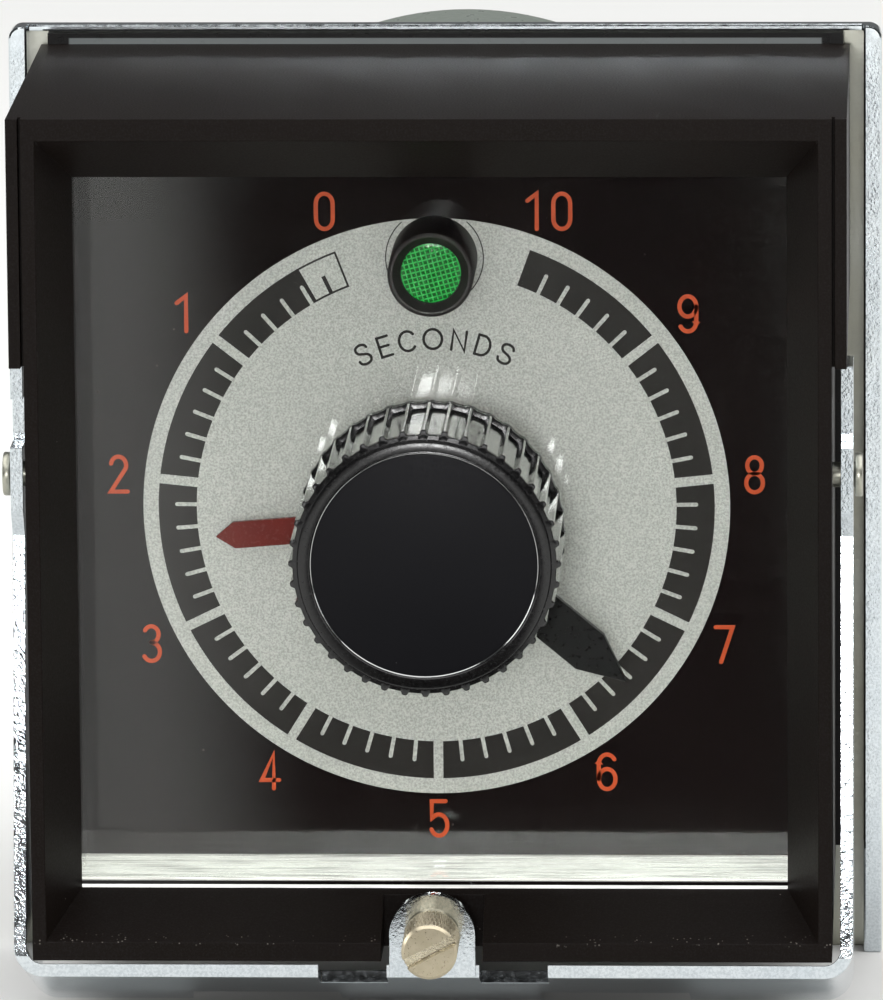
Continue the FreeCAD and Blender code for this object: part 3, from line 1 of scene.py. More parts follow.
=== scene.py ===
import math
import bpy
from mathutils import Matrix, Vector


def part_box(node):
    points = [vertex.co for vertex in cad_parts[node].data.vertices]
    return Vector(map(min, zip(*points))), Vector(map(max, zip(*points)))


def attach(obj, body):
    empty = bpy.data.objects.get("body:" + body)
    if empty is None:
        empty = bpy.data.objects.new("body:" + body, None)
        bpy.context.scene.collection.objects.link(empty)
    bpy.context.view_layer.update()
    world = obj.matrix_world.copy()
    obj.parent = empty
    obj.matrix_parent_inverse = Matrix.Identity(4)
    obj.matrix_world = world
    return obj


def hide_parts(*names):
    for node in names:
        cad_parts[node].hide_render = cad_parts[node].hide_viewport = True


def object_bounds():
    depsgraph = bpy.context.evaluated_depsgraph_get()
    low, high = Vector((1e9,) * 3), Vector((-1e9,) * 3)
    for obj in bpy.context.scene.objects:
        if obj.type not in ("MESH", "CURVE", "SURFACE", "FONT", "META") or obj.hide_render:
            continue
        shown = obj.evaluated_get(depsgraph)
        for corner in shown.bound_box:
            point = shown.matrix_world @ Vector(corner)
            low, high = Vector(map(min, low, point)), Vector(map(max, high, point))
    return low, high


bl_info = {
    "name": "Panel Reset Timer",
    "version": (1, 0, 0),
    "blender": (4, 5, 0),
    "location": "View3D > Sidebar > Timer",
    "description": "Dresses a panel reset timer: its hood, window, dial, lamp, hands, knob, strap and works",
    "category": "Object",
}

import bmesh
import bpy
from bpy.props import FloatProperty, FloatVectorProperty, IntProperty, PointerProperty
from mathutils import Matrix, Vector
from mathutils.geometry import delaunay_2d_cdt

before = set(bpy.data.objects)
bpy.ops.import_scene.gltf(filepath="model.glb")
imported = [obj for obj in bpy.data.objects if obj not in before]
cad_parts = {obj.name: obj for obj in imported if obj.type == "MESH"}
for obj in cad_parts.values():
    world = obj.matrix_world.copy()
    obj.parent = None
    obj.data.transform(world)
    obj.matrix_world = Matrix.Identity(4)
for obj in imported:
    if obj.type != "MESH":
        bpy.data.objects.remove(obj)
cad_box = [list(corner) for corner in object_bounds()]
MM = 0.001
MICRON = 1e-6


# ------------------------------------------------------------------ colours

def linear(code):
    """An sRGB hex colour as linear red, green, blue and alpha."""
    parts = [int(code[i:i + 2], 16) / 255 for i in (1, 3, 5)]
    return (*[c / 12.92 if c <= 0.04045 else ((c + 0.055) / 1.055) ** 2.4 for c in parts], 1.0)


def feed(tree, node, inputs):
    """Sets or links a node's inputs, given by name or in their order."""
    for key, value in inputs.items() if isinstance(inputs, dict) else enumerate(inputs):
        if isinstance(value, bpy.types.NodeSocket):
            tree.links.new(value, node.inputs[key])
        else:
            node.inputs[key].default_value = value


def add(tree, kind, inputs=(), **settings):
    """Adds a node with its settings and inputs, and returns its outputs."""
    node = tree.nodes.new("ShaderNode" + kind)
    for name, value in settings.items():
        setattr(node, name, value)
    feed(tree, node, inputs)
    return node.outputs


class Finish:
    """A material under construction: two near colours in soft patches, uneven gloss and a grain in relief."""

    def __init__(self, name, pale, dark, rough, metal=0.0, patch=9.0, grain=0.3, relief=2.0,
                 stretch=(1, 1, 1), swell=(), specks=()):
        """Patch, grain and swell have their lengths in millimetres and their relief in micrometres."""
        self.material = bpy.data.materials.new(name)
        self.material.use_nodes = True
        self.tree = self.material.node_tree
        self.shader = self.tree.nodes["Principled BSDF"]
        self.place = add(self.tree, "TexCoord")["Object"]
        self.along = self.put("Mapping", {"Vector": self.place, "Scale": stretch})
        self.cloud = self.put("TexNoise", self.lumps(patch, 4.0))
        fine = self.put("TexNoise", self.lumps(grain, 2.0))
        self.colour = self.put("MixRGB", (self.cloud, linear(dark), linear(pale)))
        self.gloss = self.put("MapRange", (fine, 0.3, 0.7, *rough))
        self.relief = self.put("Bump", {"Height": fine, "Distance": relief * MICRON})
        self.shader.inputs["Metallic"].default_value = metal
        if swell:
            size, detail, depth = swell
            self.relief = self.put("Bump", {
                "Height": self.put("TexNoise", self.lumps(size, detail)), "Distance": depth * MICRON,
                "Normal": self.relief})
        if specks:
            self.dusted(*specks)

    def put(self, kind, inputs, **settings):
        """Adds a node to this material and returns its first output."""
        return add(self.tree, kind, inputs, **settings)[0]

    def lumps(self, size, detail):
        """Inputs for cloudy noise with a lump each size millimetres."""
        return {"Vector": self.along, "Scale": 1000 / size, "Detail": detail}

    def dusted(self, spacing, size, colour, where=1.0):
        """Scatters round specks of one colour, in millimetres, that are strongest where it is 1."""
        cells = self.put("TexVoronoi", {"Vector": self.place, "Scale": 1000 / spacing})
        speck = self.put("MapRange", (cells, size / spacing * 0.6, size / spacing, 1.0, 0.0))
        few = self.put("TexNoise", self.lumps(spacing * 2.7, 1.0))
        few = self.put("MapRange", (few, 0.52, 0.56, 0.0, 1.0))
        mask = self.put("Math", (speck, few), operation="MULTIPLY")
        mask = self.put("Math", (mask, where), operation="MULTIPLY")
        self.colour = self.put("MixRGB", (mask, self.colour, linear(colour)))

    def done(self, **more):
        """Joins everything to the shader, with more of its sockets by name, and returns the material."""
        feed(self.tree, self.shader, {
            "Base Color": self.colour, "Roughness": self.gloss, "Normal": self.relief,
            **{name.replace("_", " "): value for name, value in more.items()}})
        return self.material


# ---------------------------------------------------------------- materials

def moulded_abs():
    # Black ABS from a spark-eroded mould: satin, finely grained, a little brown in the light, dusty.
    made = Finish("moulded_black_abs", "#150f0b", "#100b09", (0.36, 0.48), patch=14, grain=0.22, relief=12,
                  swell=(2.4, 2.0, 6))
    worn = made.put("MapRange", (made.put("TexNoise", made.lumps(0.24, 3.0)), 0.45, 0.75, 0.0, 1.0))
    made.colour = made.put("MixRGB", (worn, made.colour, linear("#1d1a19")))
    made.dusted(3.0, 0.09, "#8b8680")
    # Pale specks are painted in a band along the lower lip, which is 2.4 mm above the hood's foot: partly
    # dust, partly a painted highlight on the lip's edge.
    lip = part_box("hood")[0].z + 2.4 * MM
    height = add(made.tree, "SeparateXYZ", (made.place,))["Z"]
    away = made.put("Math", (made.put("Math", (height, lip), operation="SUBTRACT"),), operation="ABSOLUTE")
    made.dusted(0.5, 0.12, "#6f6a65", made.put("MapRange", (away, 0.2 * MM, 0.7 * MM, 1.0, 0.0)))
    return made.done(Specular_IOR_Level=0.075)


def cast_acrylic():
    # Cast acrylic sheet, polished: clear, with fine scratches; its sawn edges and inner walls are frosted.
    made = Finish("cast_acrylic", "#fbfdfb", "#f4f8f4", (0.0, 0.03), patch=30, grain=1.2, relief=0.3)
    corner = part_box("window")[0]
    axes = add(made.tree, "SeparateXYZ", (made.place,))
    depth = made.put("Math", (axes["Y"], corner.y), operation="SUBTRACT")
    height = made.put("Math", (axes["Z"], corner.z), operation="SUBTRACT")
    low = made.put("MapRange", (height, 1.28 * MM, 1.5 * MM, 1.0, 0.0))
    made.along = made.put("Mapping", {"Vector": made.place, "Scale": (0.08, 1.0, 1.0)})
    streak = made.put("MapRange", (made.put("TexNoise", made.lumps(0.7, 4.0)), 0.36, 0.58, 0.3, 1.0))
    # The inner wall is frosted behind, with a darker line painted across its glow; in front it is painted
    # near-black and opaque as shade, with a painted bright line at its edge.
    frost_and_painted_glow = made.put("MapRange", (depth, 3.1 * MM, 3.5 * MM, 0.0, 1.0))
    painted_dark_line = made.put("Math", (depth, 7.1 * MM), operation="SUBTRACT")
    painted_dark_line = made.put("Math", (painted_dark_line,), operation="ABSOLUTE")
    painted_dark_line = made.put("MapRange", (painted_dark_line, 0.4 * MM, 0.7 * MM, 0.2, 1.0))
    edge = made.put("MapRange", (height, 0.84 * MM, 0.9 * MM, 1.0, 0.0))
    for operation, other in (("MULTIPLY", painted_dark_line), ("MAXIMUM", edge), ("MULTIPLY", low)):
        frost_and_painted_glow = made.put("Math", (frost_and_painted_glow, other), operation=operation)
    haze_and_painted_glow = made.put("Math", (frost_and_painted_glow, streak), operation="MULTIPLY")
    made.gloss = made.put("MapRange", (haze_and_painted_glow, 0.0, 0.8, 0.012, 0.32))
    # Painted shade: the lower front is made near-black and opaque.
    front = made.put("MapRange", (depth, 0.2 * MM, 0.4 * MM, 1.0, 0.0))
    dark = made.put("Math", (front, low), operation="MULTIPLY")
    clear = made.put("MapRange", (haze_and_painted_glow, 0.0, 1.0, 1.0, 0.1))
    clear = made.put("Math", (clear, dark), operation="SUBTRACT", use_clamp=True)
    shade = made.put("Math", (dark, frost_and_painted_glow), operation="SUBTRACT", use_clamp=True)
    made.colour = made.put("MixRGB", (shade, made.colour, linear("#141010")))
    # Painted glow: the frosted wall and the bright line at its edge give off light of their own.
    painted_glow = made.put("MixRGB", (haze_and_painted_glow, linear("#000000"), linear("#c4c2bc")))
    made.done(Transmission_Weight=clear, Emission_Color=painted_glow, Emission_Strength=1.0, IOR=1.49)
    shadow = add(made.tree, "LightPath")["Is Shadow Ray"]
    mixed = made.put("MixShader", (shadow, made.shader.outputs[0], made.put("BsdfTransparent", ())))
    feed(made.tree, made.tree.nodes["Material Output"], {"Surface": mixed})
    return made.material


def stoved_lacquer():
    # Brown-black lacquer stoved on aluminium: smooth semi-gloss with specks of dust under the window.
    return Finish("stoved_lacquer", "#1a1413", "#140e0f", (0.05, 0.1), patch=22, grain=0.9, relief=0.05,
                  specks=(4.2, 0.12, "#77706a")).done(Specular_IOR_Level=0.45)


def sanded_silver():
    # Silver paint screened over a sanded plate: pale grey, sparkling with a fine sandy grain.
    made = Finish("sanded_silver", "#d0d0cb", "#c4c4bf", (0.42, 0.6), metal=0.1, patch=11, grain=0.24,
                  relief=4)
    # The sand is about 0.1 mm and is drawn twice as coarse, so that it shows.
    sand = made.put("MapRange", (made.put("TexNoise", made.lumps(0.24, 3.0)), 0.36, 0.64, 0.0, 1.0))
    made.colour = made.put("MixRGB", (sand, linear("#a4a49f"), made.colour))
    made.dusted(7.5, 0.12, "#6a6862")
    return made.done()


def screen_ink(name, pale, dark):
    # Screen-printed ink, dried flat: even colour, dull, with the weave of the screen just visible in relief.
    return Finish(name, pale, dark, (0.34, 0.5), patch=5, grain=0.2, relief=1.5).done(Specular_IOR_Level=0.2)


def enamel(name, pale, dark, rough, speck="#8a7c74"):
    # Brushed enamel on a stamped hand: satin, slightly uneven, with a few pin-prick specks.
    return Finish(name, pale, dark, rough, patch=4, grain=0.5, relief=0.5,
                  specks=(3.6, 0.06, speck)).done(Specular_IOR_Level=0.25)


def bright_chrome():
    # Decorative chrome on pressed steel: mirror-bright, pebbled on sheared edges, faintly rippled elsewhere.
    made = Finish("bright_chrome_plate", "#dde2e4", "#c6ced4", (0.06, 0.16), metal=1.0, patch=6, grain=0.9,
                  relief=1.2)
    facing = add(made.tree, "SeparateXYZ", (add(made.tree, "TexCoord")["Normal"],))["Y"]
    height = add(made.tree, "SeparateXYZ", (made.place,))["Z"]
    # Edges to the front are sheared, all but the trim's top bar.
    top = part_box("trim_frame")[1].z
    sheared = made.put("Math", (
        made.put("MapRange", (facing, -0.3, -0.8, 0.04, 1.0)),
        made.put("MapRange", (height, top - 3.4 * MM, top - 1.7 * MM, 1.0, 0.1))), operation="MULTIPLY")
    pebble = made.put("Math", (made.put("TexNoise", made.lumps(0.36, 3.0)), sheared), operation="MULTIPLY")
    for height, depth in ((pebble, 15), (made.put("TexNoise", made.lumps(3.2, 2.0)), 22)):
        made.relief = made.put("Bump", {"Height": height, "Distance": depth * MICRON, "Normal": made.relief})
    glint = made.put("MapRange", (made.put("TexNoise", made.lumps(0.3, 2.0)), 0.42, 0.6, 0.0, 0.3))
    glint = made.put("Math", (glint, sheared), operation="MULTIPLY")
    made.colour = made.put("MixRGB", (glint, made.colour, linear("#8f9aa0")))
    return made.done()


def metallised_chrome():
    # Vacuum-metallised moulding: bright and smooth, softly rippled where the plastic sank.
    return Finish("metallised_chrome", "#b9b9b7", "#9fa1a2", (0.06, 0.16), metal=1.0, patch=3, grain=1.6,
                  relief=7, swell=(0.4, 2.0, 3)).done()


def nickel_plate():
    # Turned steel, nickel-plated: warm silver with fine turning marks.
    return Finish("nickel_plate", "#cfc4ac", "#b3a88e", (0.26, 0.4), metal=1.0, patch=1.6, grain=0.28,
                  relief=1.2, swell=(0.9, 3.0, 3)).done()


def sawn_nickel():
    # The sawn bottom of a slot: painted brighter than the turned face as a highlight, with marks along the
    # cut.
    return Finish("sawn_nickel", "#fff6de", "#b9ac8c", (0.18, 0.34), metal=1.0, patch=0.5, grain=0.2,
                  relief=4, stretch=(0.5, 1, 1.6)).done()


def zinc_plate():
    # Pressed steel, zinc-plated and passivated: cool grey with a faint straw bloom in patches.
    return Finish("zinc_plated_steel", "#b9bcb8", "#a5a18c", (0.28, 0.46), metal=1.0, patch=12, grain=0.35,
                  relief=3).done()


def can_enamel():
    # Stoved grey enamel on drawn steel: smooth orange-peel gloss.
    return Finish("can_enamel", "#80877f", "#767d77", (0.26, 0.4), patch=18, grain=1.4, relief=7,
                  swell=(0.3, 2.0, 1.5), specks=(6.0, 0.14, "#6f7370")).done()


def flange_enamel():
    # Grey enamel in the middle of the flange; its border above the hood's top and out at the sides is painted
    # black as shadow.
    made = Finish("flange_enamel", "#878c8c", "#7a8080", (0.26, 0.4), patch=18, grain=1.4, relief=7)
    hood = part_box("hood")[1]
    top, side = hood.z + 0.7 * MM, hood.x - 3.5 * MM
    axes = add(made.tree, "SeparateXYZ", (made.place,))
    across = made.put("Math", (axes["X"],), operation="ABSOLUTE")
    # Painted shadow: the border is coloured near-black.
    painted_shadow_border = made.put("Math", (
        made.put("MapRange", (axes["Z"], top, top + 0.06 * MM, 0.0, 1.0)),
        made.put("MapRange", (across, side, side + 0.2 * MM, 0.0, 1.0))), operation="MAXIMUM")
    made.colour = made.put("MixRGB", (painted_shadow_border, made.colour, linear("#0e0d0d")))
    return made.done(Specular_IOR_Level=0.2)


def moulded_phenolic(name, pale, dark, rough=(0.22, 0.36)):
    # Compression-moulded phenolic: hard and glossy, with a faint mottle from its wood-flour filler.
    return Finish(name, pale, dark, rough, patch=1.8, grain=0.3, relief=2, swell=(4.0, 2.0, 10)).done()


def turned_brass():
    # Free-cutting brass as turned or hobbed: yellow, tool-marked, a little tarnished.
    return Finish("turned_brass", "#d8b66a", "#a8803f", (0.2, 0.38), metal=1.0, patch=2.5, grain=0.25,
                  relief=3).done()


def blued_spring():
    # Hardened and blued spring steel strip: dark blue in soft patches.
    return Finish("blued_spring_steel", "#46557c", "#2a3048", (0.2, 0.32), metal=1.0, patch=3, grain=0.3,
                  relief=1).done()


def wound_copper():
    # Enamelled copper wire in layers: reddish and glossy, with a ridge for each turn.
    made = Finish("wound_copper_wire", "#b5622f", "#7c3a1c", (0.2, 0.34), metal=0.85, patch=2, grain=0.3,
                  relief=1)
    # The wire is 0.2 mm and is drawn at 0.4 mm, so that its turns show.
    turns = add(made.tree, "TexWave", {
        "Vector": made.place, "Scale": 1000 / 0.4 / 20, "Distortion": 0.6}, bands_direction="Z")
    made.relief = made.put("Bump", {"Height": turns["Fac"], "Distance": 60 * MICRON, "Normal": made.relief})
    return made.done()


def soft_iron():
    # Annealed magnet iron, phosphated: dull dark grey.
    return Finish("annealed_iron", "#6a6b6c", "#4a4947", (0.42, 0.6), metal=0.9, patch=4, grain=0.3,
                  relief=4).done()


def rubber():
    # Moulded black rubber: matt, slightly dusty.
    return Finish("moulded_rubber", "#262524", "#1b1a19", (0.62, 0.8), patch=3, grain=0.3, relief=9,
                  specks=(1.8, 0.1, "#5e5b57")).done()


def anodised_inlay():
    # Satin-anodised aluminium disc, dyed charcoal: even and quiet, with a few specks of dust.
    return Finish("charcoal_anodised", "#0d0d11", "#0a0a0e", (0.38, 0.48), patch=6, grain=0.3, relief=1.2,
                  specks=(4.5, 0.1, "#8d8b8a")).done(Specular_IOR_Level=0.13)


def pressed_lens():
    # Green acrylic lens with a pressed waffle face: a painted glow, brighter along its ribs, with painted
    # shade in the pits.
    sizes = bpy.context.scene.timer_lamp
    made = Finish("pressed_green_acrylic", "#34bb52", "#1c8f38", (0.1, 0.2), patch=2.2, grain=0.3, relief=1)
    *_, centre = measured("lamp_lens")
    centred = made.put("Mapping", {"Vector": made.place, "Location": (0, 0, -centre.y * MM)})
    spun = made.put("Mapping", {"Vector": centred, "Rotation": (0, sizes.lens_turn, 0)})
    axes = add(made.tree, "SeparateXYZ", (spun,))
    ribs = []
    for axis in "XZ":
        away = made.put("Math", (axes[axis], sizes.lens_pitch / 2), operation="PINGPONG")
        ribs.append(made.put("MapRange", (away, 0.035 * MM, 0.115 * MM, 1.0, 0.0)))
    rib = made.put("Math", ribs, operation="MAXIMUM")
    # Painted shade and glow: the pits are coloured dark green and the ribs bright, and this colour is also
    # given off as light.
    made.colour = made.put("MixRGB", (rib, linear("#0b551c"), made.colour))
    return made.done(Emission_Color=made.colour, Emission_Strength=0.12, IOR=1.49)


def lamp_glass():
    # Drawn glass envelope of a neon lamp, clear.
    return Finish("drawn_glass", "#fdf6f0", "#f6ece4", (0.0, 0.05), patch=3, grain=0.8,
                  relief=0.5).done(Transmission_Weight=0.95, IOR=1.52)


FINISHES = {
    "abs": moulded_abs,
    "acrylic": cast_acrylic,
    "lacquer": stoved_lacquer,
    "silver": sanded_silver,
    "black_ink": lambda: screen_ink("black_screen_ink", "#262220", "#1e1a19"),
    "orange_ink": lambda: screen_ink("orange_screen_ink", "#d05226", "#bd4820"),
    "black_enamel": lambda: enamel("black_enamel", "#131212", "#0e0e0e", (0.26, 0.36), "#3a3634"),
    "red_enamel": lambda: enamel("dark_red_enamel", "#70241e", "#5e1b17", (0.2, 0.3)),
    "chrome": bright_chrome,
    "knob_chrome": metallised_chrome,
    "nickel": nickel_plate,
    "sawn": sawn_nickel,
    "zinc": zinc_plate,
    "flange": flange_enamel,
    "can": can_enamel,
    "phenolic": lambda: moulded_phenolic("brown_phenolic", "#2c1c16", "#1e1310"),
    "knob_black": lambda: moulded_phenolic("black_phenolic", "#0e0d0e", "#0a0a0a", (0.16, 0.28)),
    "lamp_black": lambda: moulded_phenolic("lamp_bezel_nylon", "#140c0c", "#0d0808", (0.42, 0.55)),
    "switch": lambda: moulded_phenolic("switch_phenolic", "#2a2726", "#1c1a1a", (0.3, 0.45)),
    "brass": turned_brass,
    "spring": blued_spring,
    "copper": wound_copper,
    "iron": soft_iron,
    "rubber": rubber,
    "inlay": anodised_inlay,
    "lens": pressed_lens,
    "glass": lamp_glass,
}
ready = {}


def finish(name):
    """The named material, made when it is first asked for."""
    if name not in ready:
        ready[name] = FINISHES[name]()
    return ready[name]


# -------------------------------------------------------------- mesh making

def shaded(mesh):
    """The mesh shaded smooth, with sharp edges where it turns sharply."""
    mesh.shade_smooth()
    mesh.set_sharp_from_angle(angle=math.radians(32))
    return mesh


def close(bm, name):
    """Finishes a mesh with even normals."""
    bmesh.ops.recalc_face_normals(bm, faces=bm.faces)
    mesh = bpy.data.meshes.new(name)
    bm.to_mesh(mesh)
    bm.free()
    return shaded(mesh)


def measured(node):
    """A part's lowest and highest corners and its middle (x, z), in mm."""
    low, high = (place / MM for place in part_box(node))
    return low, high, Vector((low.x + high.x, low.z + high.z)) / 2


def corner(bm, x, y, z):
    """Adds a corner to a mesh, in mm."""
    return bm.verts.new((x * MM, y * MM, z * MM))


def bridge(bm, rings):
    """Joins each ring of corners to the next; a ring may be one corner over and over."""
    for one, two in zip(rings, rings[1:]):
        for i in range(len(one)):
            j = (i + 1) % len(one)
            corners = list(dict.fromkeys((one[i], one[j], two[j], two[i])))
            if len(corners) > 2:
                bm.faces.new(corners)


def turned(outline, centre=(0.0, 0.0), steps=96, wave=None):
    """Spins a closed outline of (radius, y), in mm, about a line along Y through centre (x, z).
    wave(angle, radius, y) may give another radius, in mm."""
    bm = bmesh.new()
    rings = []
    for radius, y in outline:
        if radius <= 0:
            rings.append([corner(bm, centre[0], y, centre[1])] * steps)
            continue
        ring = []
        for i in range(steps):
            angle = 2 * math.pi * i / steps
            r = wave(angle, radius, y) if wave else radius
            ring.append(corner(bm, centre[0] + r * math.sin(angle), y, centre[1] + r * math.cos(angle)))
        rings.append(ring)
    bridge(bm, rings + rings[:1])
    return bm


def slab(bm, corners, faces, front, back):
    """Adds a closed flat solid to a mesh: corners are (x, z) in mm, faces index them."""
    near, far = ([corner(bm, x, y, z) for x, z in corners] for y in (front, back))
    sides = {}
    for face in faces:
        bm.faces.new([near[i] for i in face])
        bm.faces.new([far[i] for i in reversed(face)])
        for i, j in zip(face, face[1:] + face[:1]):
            sides.pop((j, i), None) or sides.update({(i, j): True})
    for i, j in sides:
        bm.faces.new((near[j], near[i], far[i], far[j]))


def inside(point, loops):
    """Whether a point lies inside an odd number of the loops."""
    odd = False
    for loop in loops:
        for (x1, z1), (x2, z2) in zip(loop, loop[1:] + loop[:1]):
            if (z1 > point[1]) != (z2 > point[1]):
                if point[0] < (x2 - x1) * (point[1] - z1) / (z2 - z1) + x1:
                    odd = not odd
    return odd


def plate(loops, front, back, into=None):
    """A flat piece with holes: closed loops of (x, z) in mm, from y front to y back."""
    bm = into or bmesh.new()
    points = [Vector(p) for loop in loops for p in loop]
    edges, start = [], 0
    for loop in loops:
        edges += [(start + i, start + (i + 1) % len(loop)) for i in range(len(loop))]
        start += len(loop)
    corners, _, faces, *_ = delaunay_2d_cdt(points, edges, [], 1, 1e-9)
    kept = [list(f) for f in faces if inside(sum((corners[i] for i in f), Vector((0, 0))) / 3, loops)]
    slab(bm, corners, kept, front, back)
    return bm


def ribbons(paths, width, front, back, into=None):
    """Flat strokes with round ends along paths of (x, z), in mm; one that ends where it starts is closed."""
    bm = into or bmesh.new()
    for path in paths:
        path = [Vector(p) for p in path]
        closed = (path[0] - path[-1]).length < 1e-6
        points = path[:-1] if closed else path
        count = len(points)
        corners = []
        for i, point in enumerate(points):
            came = point - points[i - 1] if closed or i else None
            goes = points[(i + 1) % count] - point if closed or i < count - 1 else None
            came, goes = (came or goes).normalized(), (goes or came).normalized()
            middle = (came + goes).normalized()
            across = Vector((-middle.y, middle.x)) * width / 2 / max(0.5, middle.dot(came))
            corners += [point + across, point - across]
        faces = [[2 * i, 2 * i + 1, (2 * i + 3) % (2 * count), (2 * i + 2) % (2 * count)]
                 for i in range(count if closed else count - 1)]
        if not closed:
            for end, first, second in ((0, 1, 0), (count - 1, 2 * count - 2, 2 * count - 1)):
                arm = corners[first] - points[end]
                fan = [first, *range(len(corners), len(corners) + 5)]
                corners += [points[end] + Matrix.Rotation(-math.pi * k / 6, 2) @ arm for k in range(1, 6)]
                faces.append([second] + fan[:0:-1] + [first])
        slab(bm, corners, faces, front, back)
    return bm


def toward(degrees, radius=1.0):
    """The point (x, z) at a radius, degrees clockwise from the top of the dial."""
    return radius * Vector((math.sin(math.radians(degrees)), math.cos(math.radians(degrees))))


def around(radius, start, end, step=1.5):
    """Points on a circle about the spindle, from one angle to another."""
    count = max(2, round(abs(end - start) / step))
    return [toward(start + (end - start) * i / count, radius) for i in range(count + 1)]


def circle(radius, x=0.0, z=0.0, count=96):
    """A closed loop of points."""
    return [Vector((x, z)) + toward(360 * i / count, radius) for i in range(count)]


def modify(thing, kind, **settings):
    """Adds a modifier with its settings."""
    modifier = thing.modifiers.new(kind.lower(), kind)
    for name, value in settings.items():
        setattr(modifier, name, value)


def slotted(bm, centre, turn, width, front, back):
    """The mesh with a saw slot cut across it from y front to y back, turned in degrees from level."""
    along = toward(90 - turn, 6)
    across = toward(-turn, width / 2)
    loop = [Vector(centre) + p for p in (-along - across, along - across, along + across, across - along)]
    body, cutter = (bpy.data.objects.new(name, close(part, name)) for name, part in (
        ("blank", bm), ("saw", plate([loop], front, back))))
    for thing in (body, cutter):
        bpy.context.collection.objects.link(thing)
    modify(body, "BOOLEAN", object=cutter, operation="DIFFERENCE", solver="EXACT")
    bpy.context.view_layer.update()
    result = bpy.data.meshes.new_from_object(body.evaluated_get(bpy.context.evaluated_depsgraph_get()))
    for thing in (body, cutter):
        blank = thing.data
        bpy.data.objects.remove(thing)
        bpy.data.meshes.remove(blank)
    return shaded(result)


def piece(name, shape, look, body, slot, *replaces):
    """Adds a shape as a piece that moves with a body, and hides the nodes that it replaces."""
    mesh = shape if isinstance(shape, bpy.types.Mesh) else close(shape, name)
    thing = bpy.data.objects.new(name, mesh)
    bpy.context.collection.objects.link(thing)
    mesh.materials.clear()
    mesh.materials.append(finish(look))
    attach(thing, body)
    if replaces:
        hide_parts(*replaces)
    return thing


def dress(node, look, edge=0.0):
    """Gives a carried-over part its material, and rounds its edges by so many mm."""
    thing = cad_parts[node]
    if not thing.material_slots:
        thing.data.materials.append(None)
    for slot in thing.material_slots:
        slot.material = finish(look)
    if edge:
        modify(thing, "WELD", merge_threshold=MICRON)
        modify(thing, "DECIMATE", decimate_type="DISSOLVE", angle_limit=math.radians(0.5))
        modify(thing, "BEVEL", width=edge * MM, segments=2, limit_method="ANGLE",
               angle_limit=math.radians(30), miter_outer="MITER_ARC")
        modify(thing, "WEIGHTED_NORMAL", weight=80, keep_sharp=True)


# ------------------------------------------------------------------- glyphs

def bow(x, z, rx, rz, start, end):
    """Points on part of an ellipse, in degrees counter-clockwise from the right."""
    count = max(3, round(abs(end - start) / 15))
    turns = [math.radians(start + (end - start) * i / count) for i in range(count + 1)]
    return [(x + rx * math.cos(a), z + rz * math.sin(a)) for a in turns]


def smooth(points):
    """A flowing line through the points."""
    line = []
    for i in range(len(points) - 1):
        a, b, c, d = [Vector(points[min(max(k, 0), len(points) - 1)]) for k in (i - 1, i, i + 1, i + 2)]
        for step in range(4):
            t = step / 4
            line.append(0.5 * (2 * b + (c - a) * t + (2 * a - 5 * b + 4 * c - d) * t * t
                               + (3 * b - a - 3 * c + d) * t ** 3))
    return line + [Vector(points[-1])]


GLYPHS = {
    "0": [bow(0, .72, .235, .28, 0, 180) + bow(0, .28, .235, .28, 180, 360) + [(.235, .72)]],
    "1": [[(.1, 0), (.1, 1), (-.16, .8)]],
    "2": [bow(0, .75, .215, .25, 168, -20) + [(-.225, 0), (.245, 0)]],
    "3": [bow(0, .765, .205, .235, 150, -90), bow(0, .265, .235, .265, 90, -150)],
    "4": [[(.1, 0), (.1, 1), (-.24, .24), (.25, .24)]],
    "5": [[(.19, 1), (-.2, 1), (-.2, .5)] + bow(0, .31, .235, .31, 130, -155)],
    "6": [bow(0, .29, .235, .29, 0, 360), [(-.235, .29), (-.235, .72)] + bow(0, .72, .235, .28, 180, 30)],
    "7": [[(-.24, 1), (.235, 1), (-.09, 0)]],
    "8": [bow(0, .765, .205, .235, 0, 360), bow(0, .265, .235, .265, 0, 360)],
    "9": [bow(0, .71, .235, .29, 0, 360), [(.235, .71), (.235, .28)] + bow(0, .28, .235, .28, 0, -150)],
    "S": [smooth([(.29, .8), (.22, .93), (0, 1), (-.23, .93), (-.29, .76), (-.2, .6), (0, .52),
                  (.22, .42), (.31, .25), (.23, .07), (0, 0), (-.24, .06), (-.32, .22)])],
    "E": [[(.27, 1), (-.27, 1), (-.27, 0), (.29, 0)], [(-.27, .52), (.22, .52)]],
    "C": [bow(.02, .5, .42, .5, 40, 320)],
    "O": [bow(0, .5, .46, .5, 0, 360)],
    "N": [[(-.33, 0), (-.33, 1), (.33, 0), (.33, 1)]],
    "D": [[(-.32, 0), (-.32, 1)] + bow(-.05, .5, .4, .5, 90, -90) + [(-.32, 0)]],
}


def letter(mark, at, height, stroke, turned_by=0.0, mirror=1):
    """The strokes of one mark, centred at a point (x, z) in mm, turned clockwise in degrees."""
    spin = Matrix.Rotation(-math.radians(turned_by), 2) * (height - stroke)
    return [[Vector(at) + spin @ Vector((mirror * p[0], p[1] - 0.5)) for p in path] for path in GLYPHS[mark]]


# ----------------------------------------------------------------- settings

def length(name, about, mm):
    """A length that a user can change, given in millimetres."""
    return FloatProperty(name=name, description=about, default=mm * MM, unit="LENGTH")


def turn(name, about, degrees):
    """An angle that a user can change, given in degrees."""
    return FloatProperty(name=name, description=about, default=math.radians(degrees), subtype="ANGLE")


def power(name, about, watts):
    """The strength of a light."""
    return FloatProperty(name=name, description=about, default=watts, min=0)


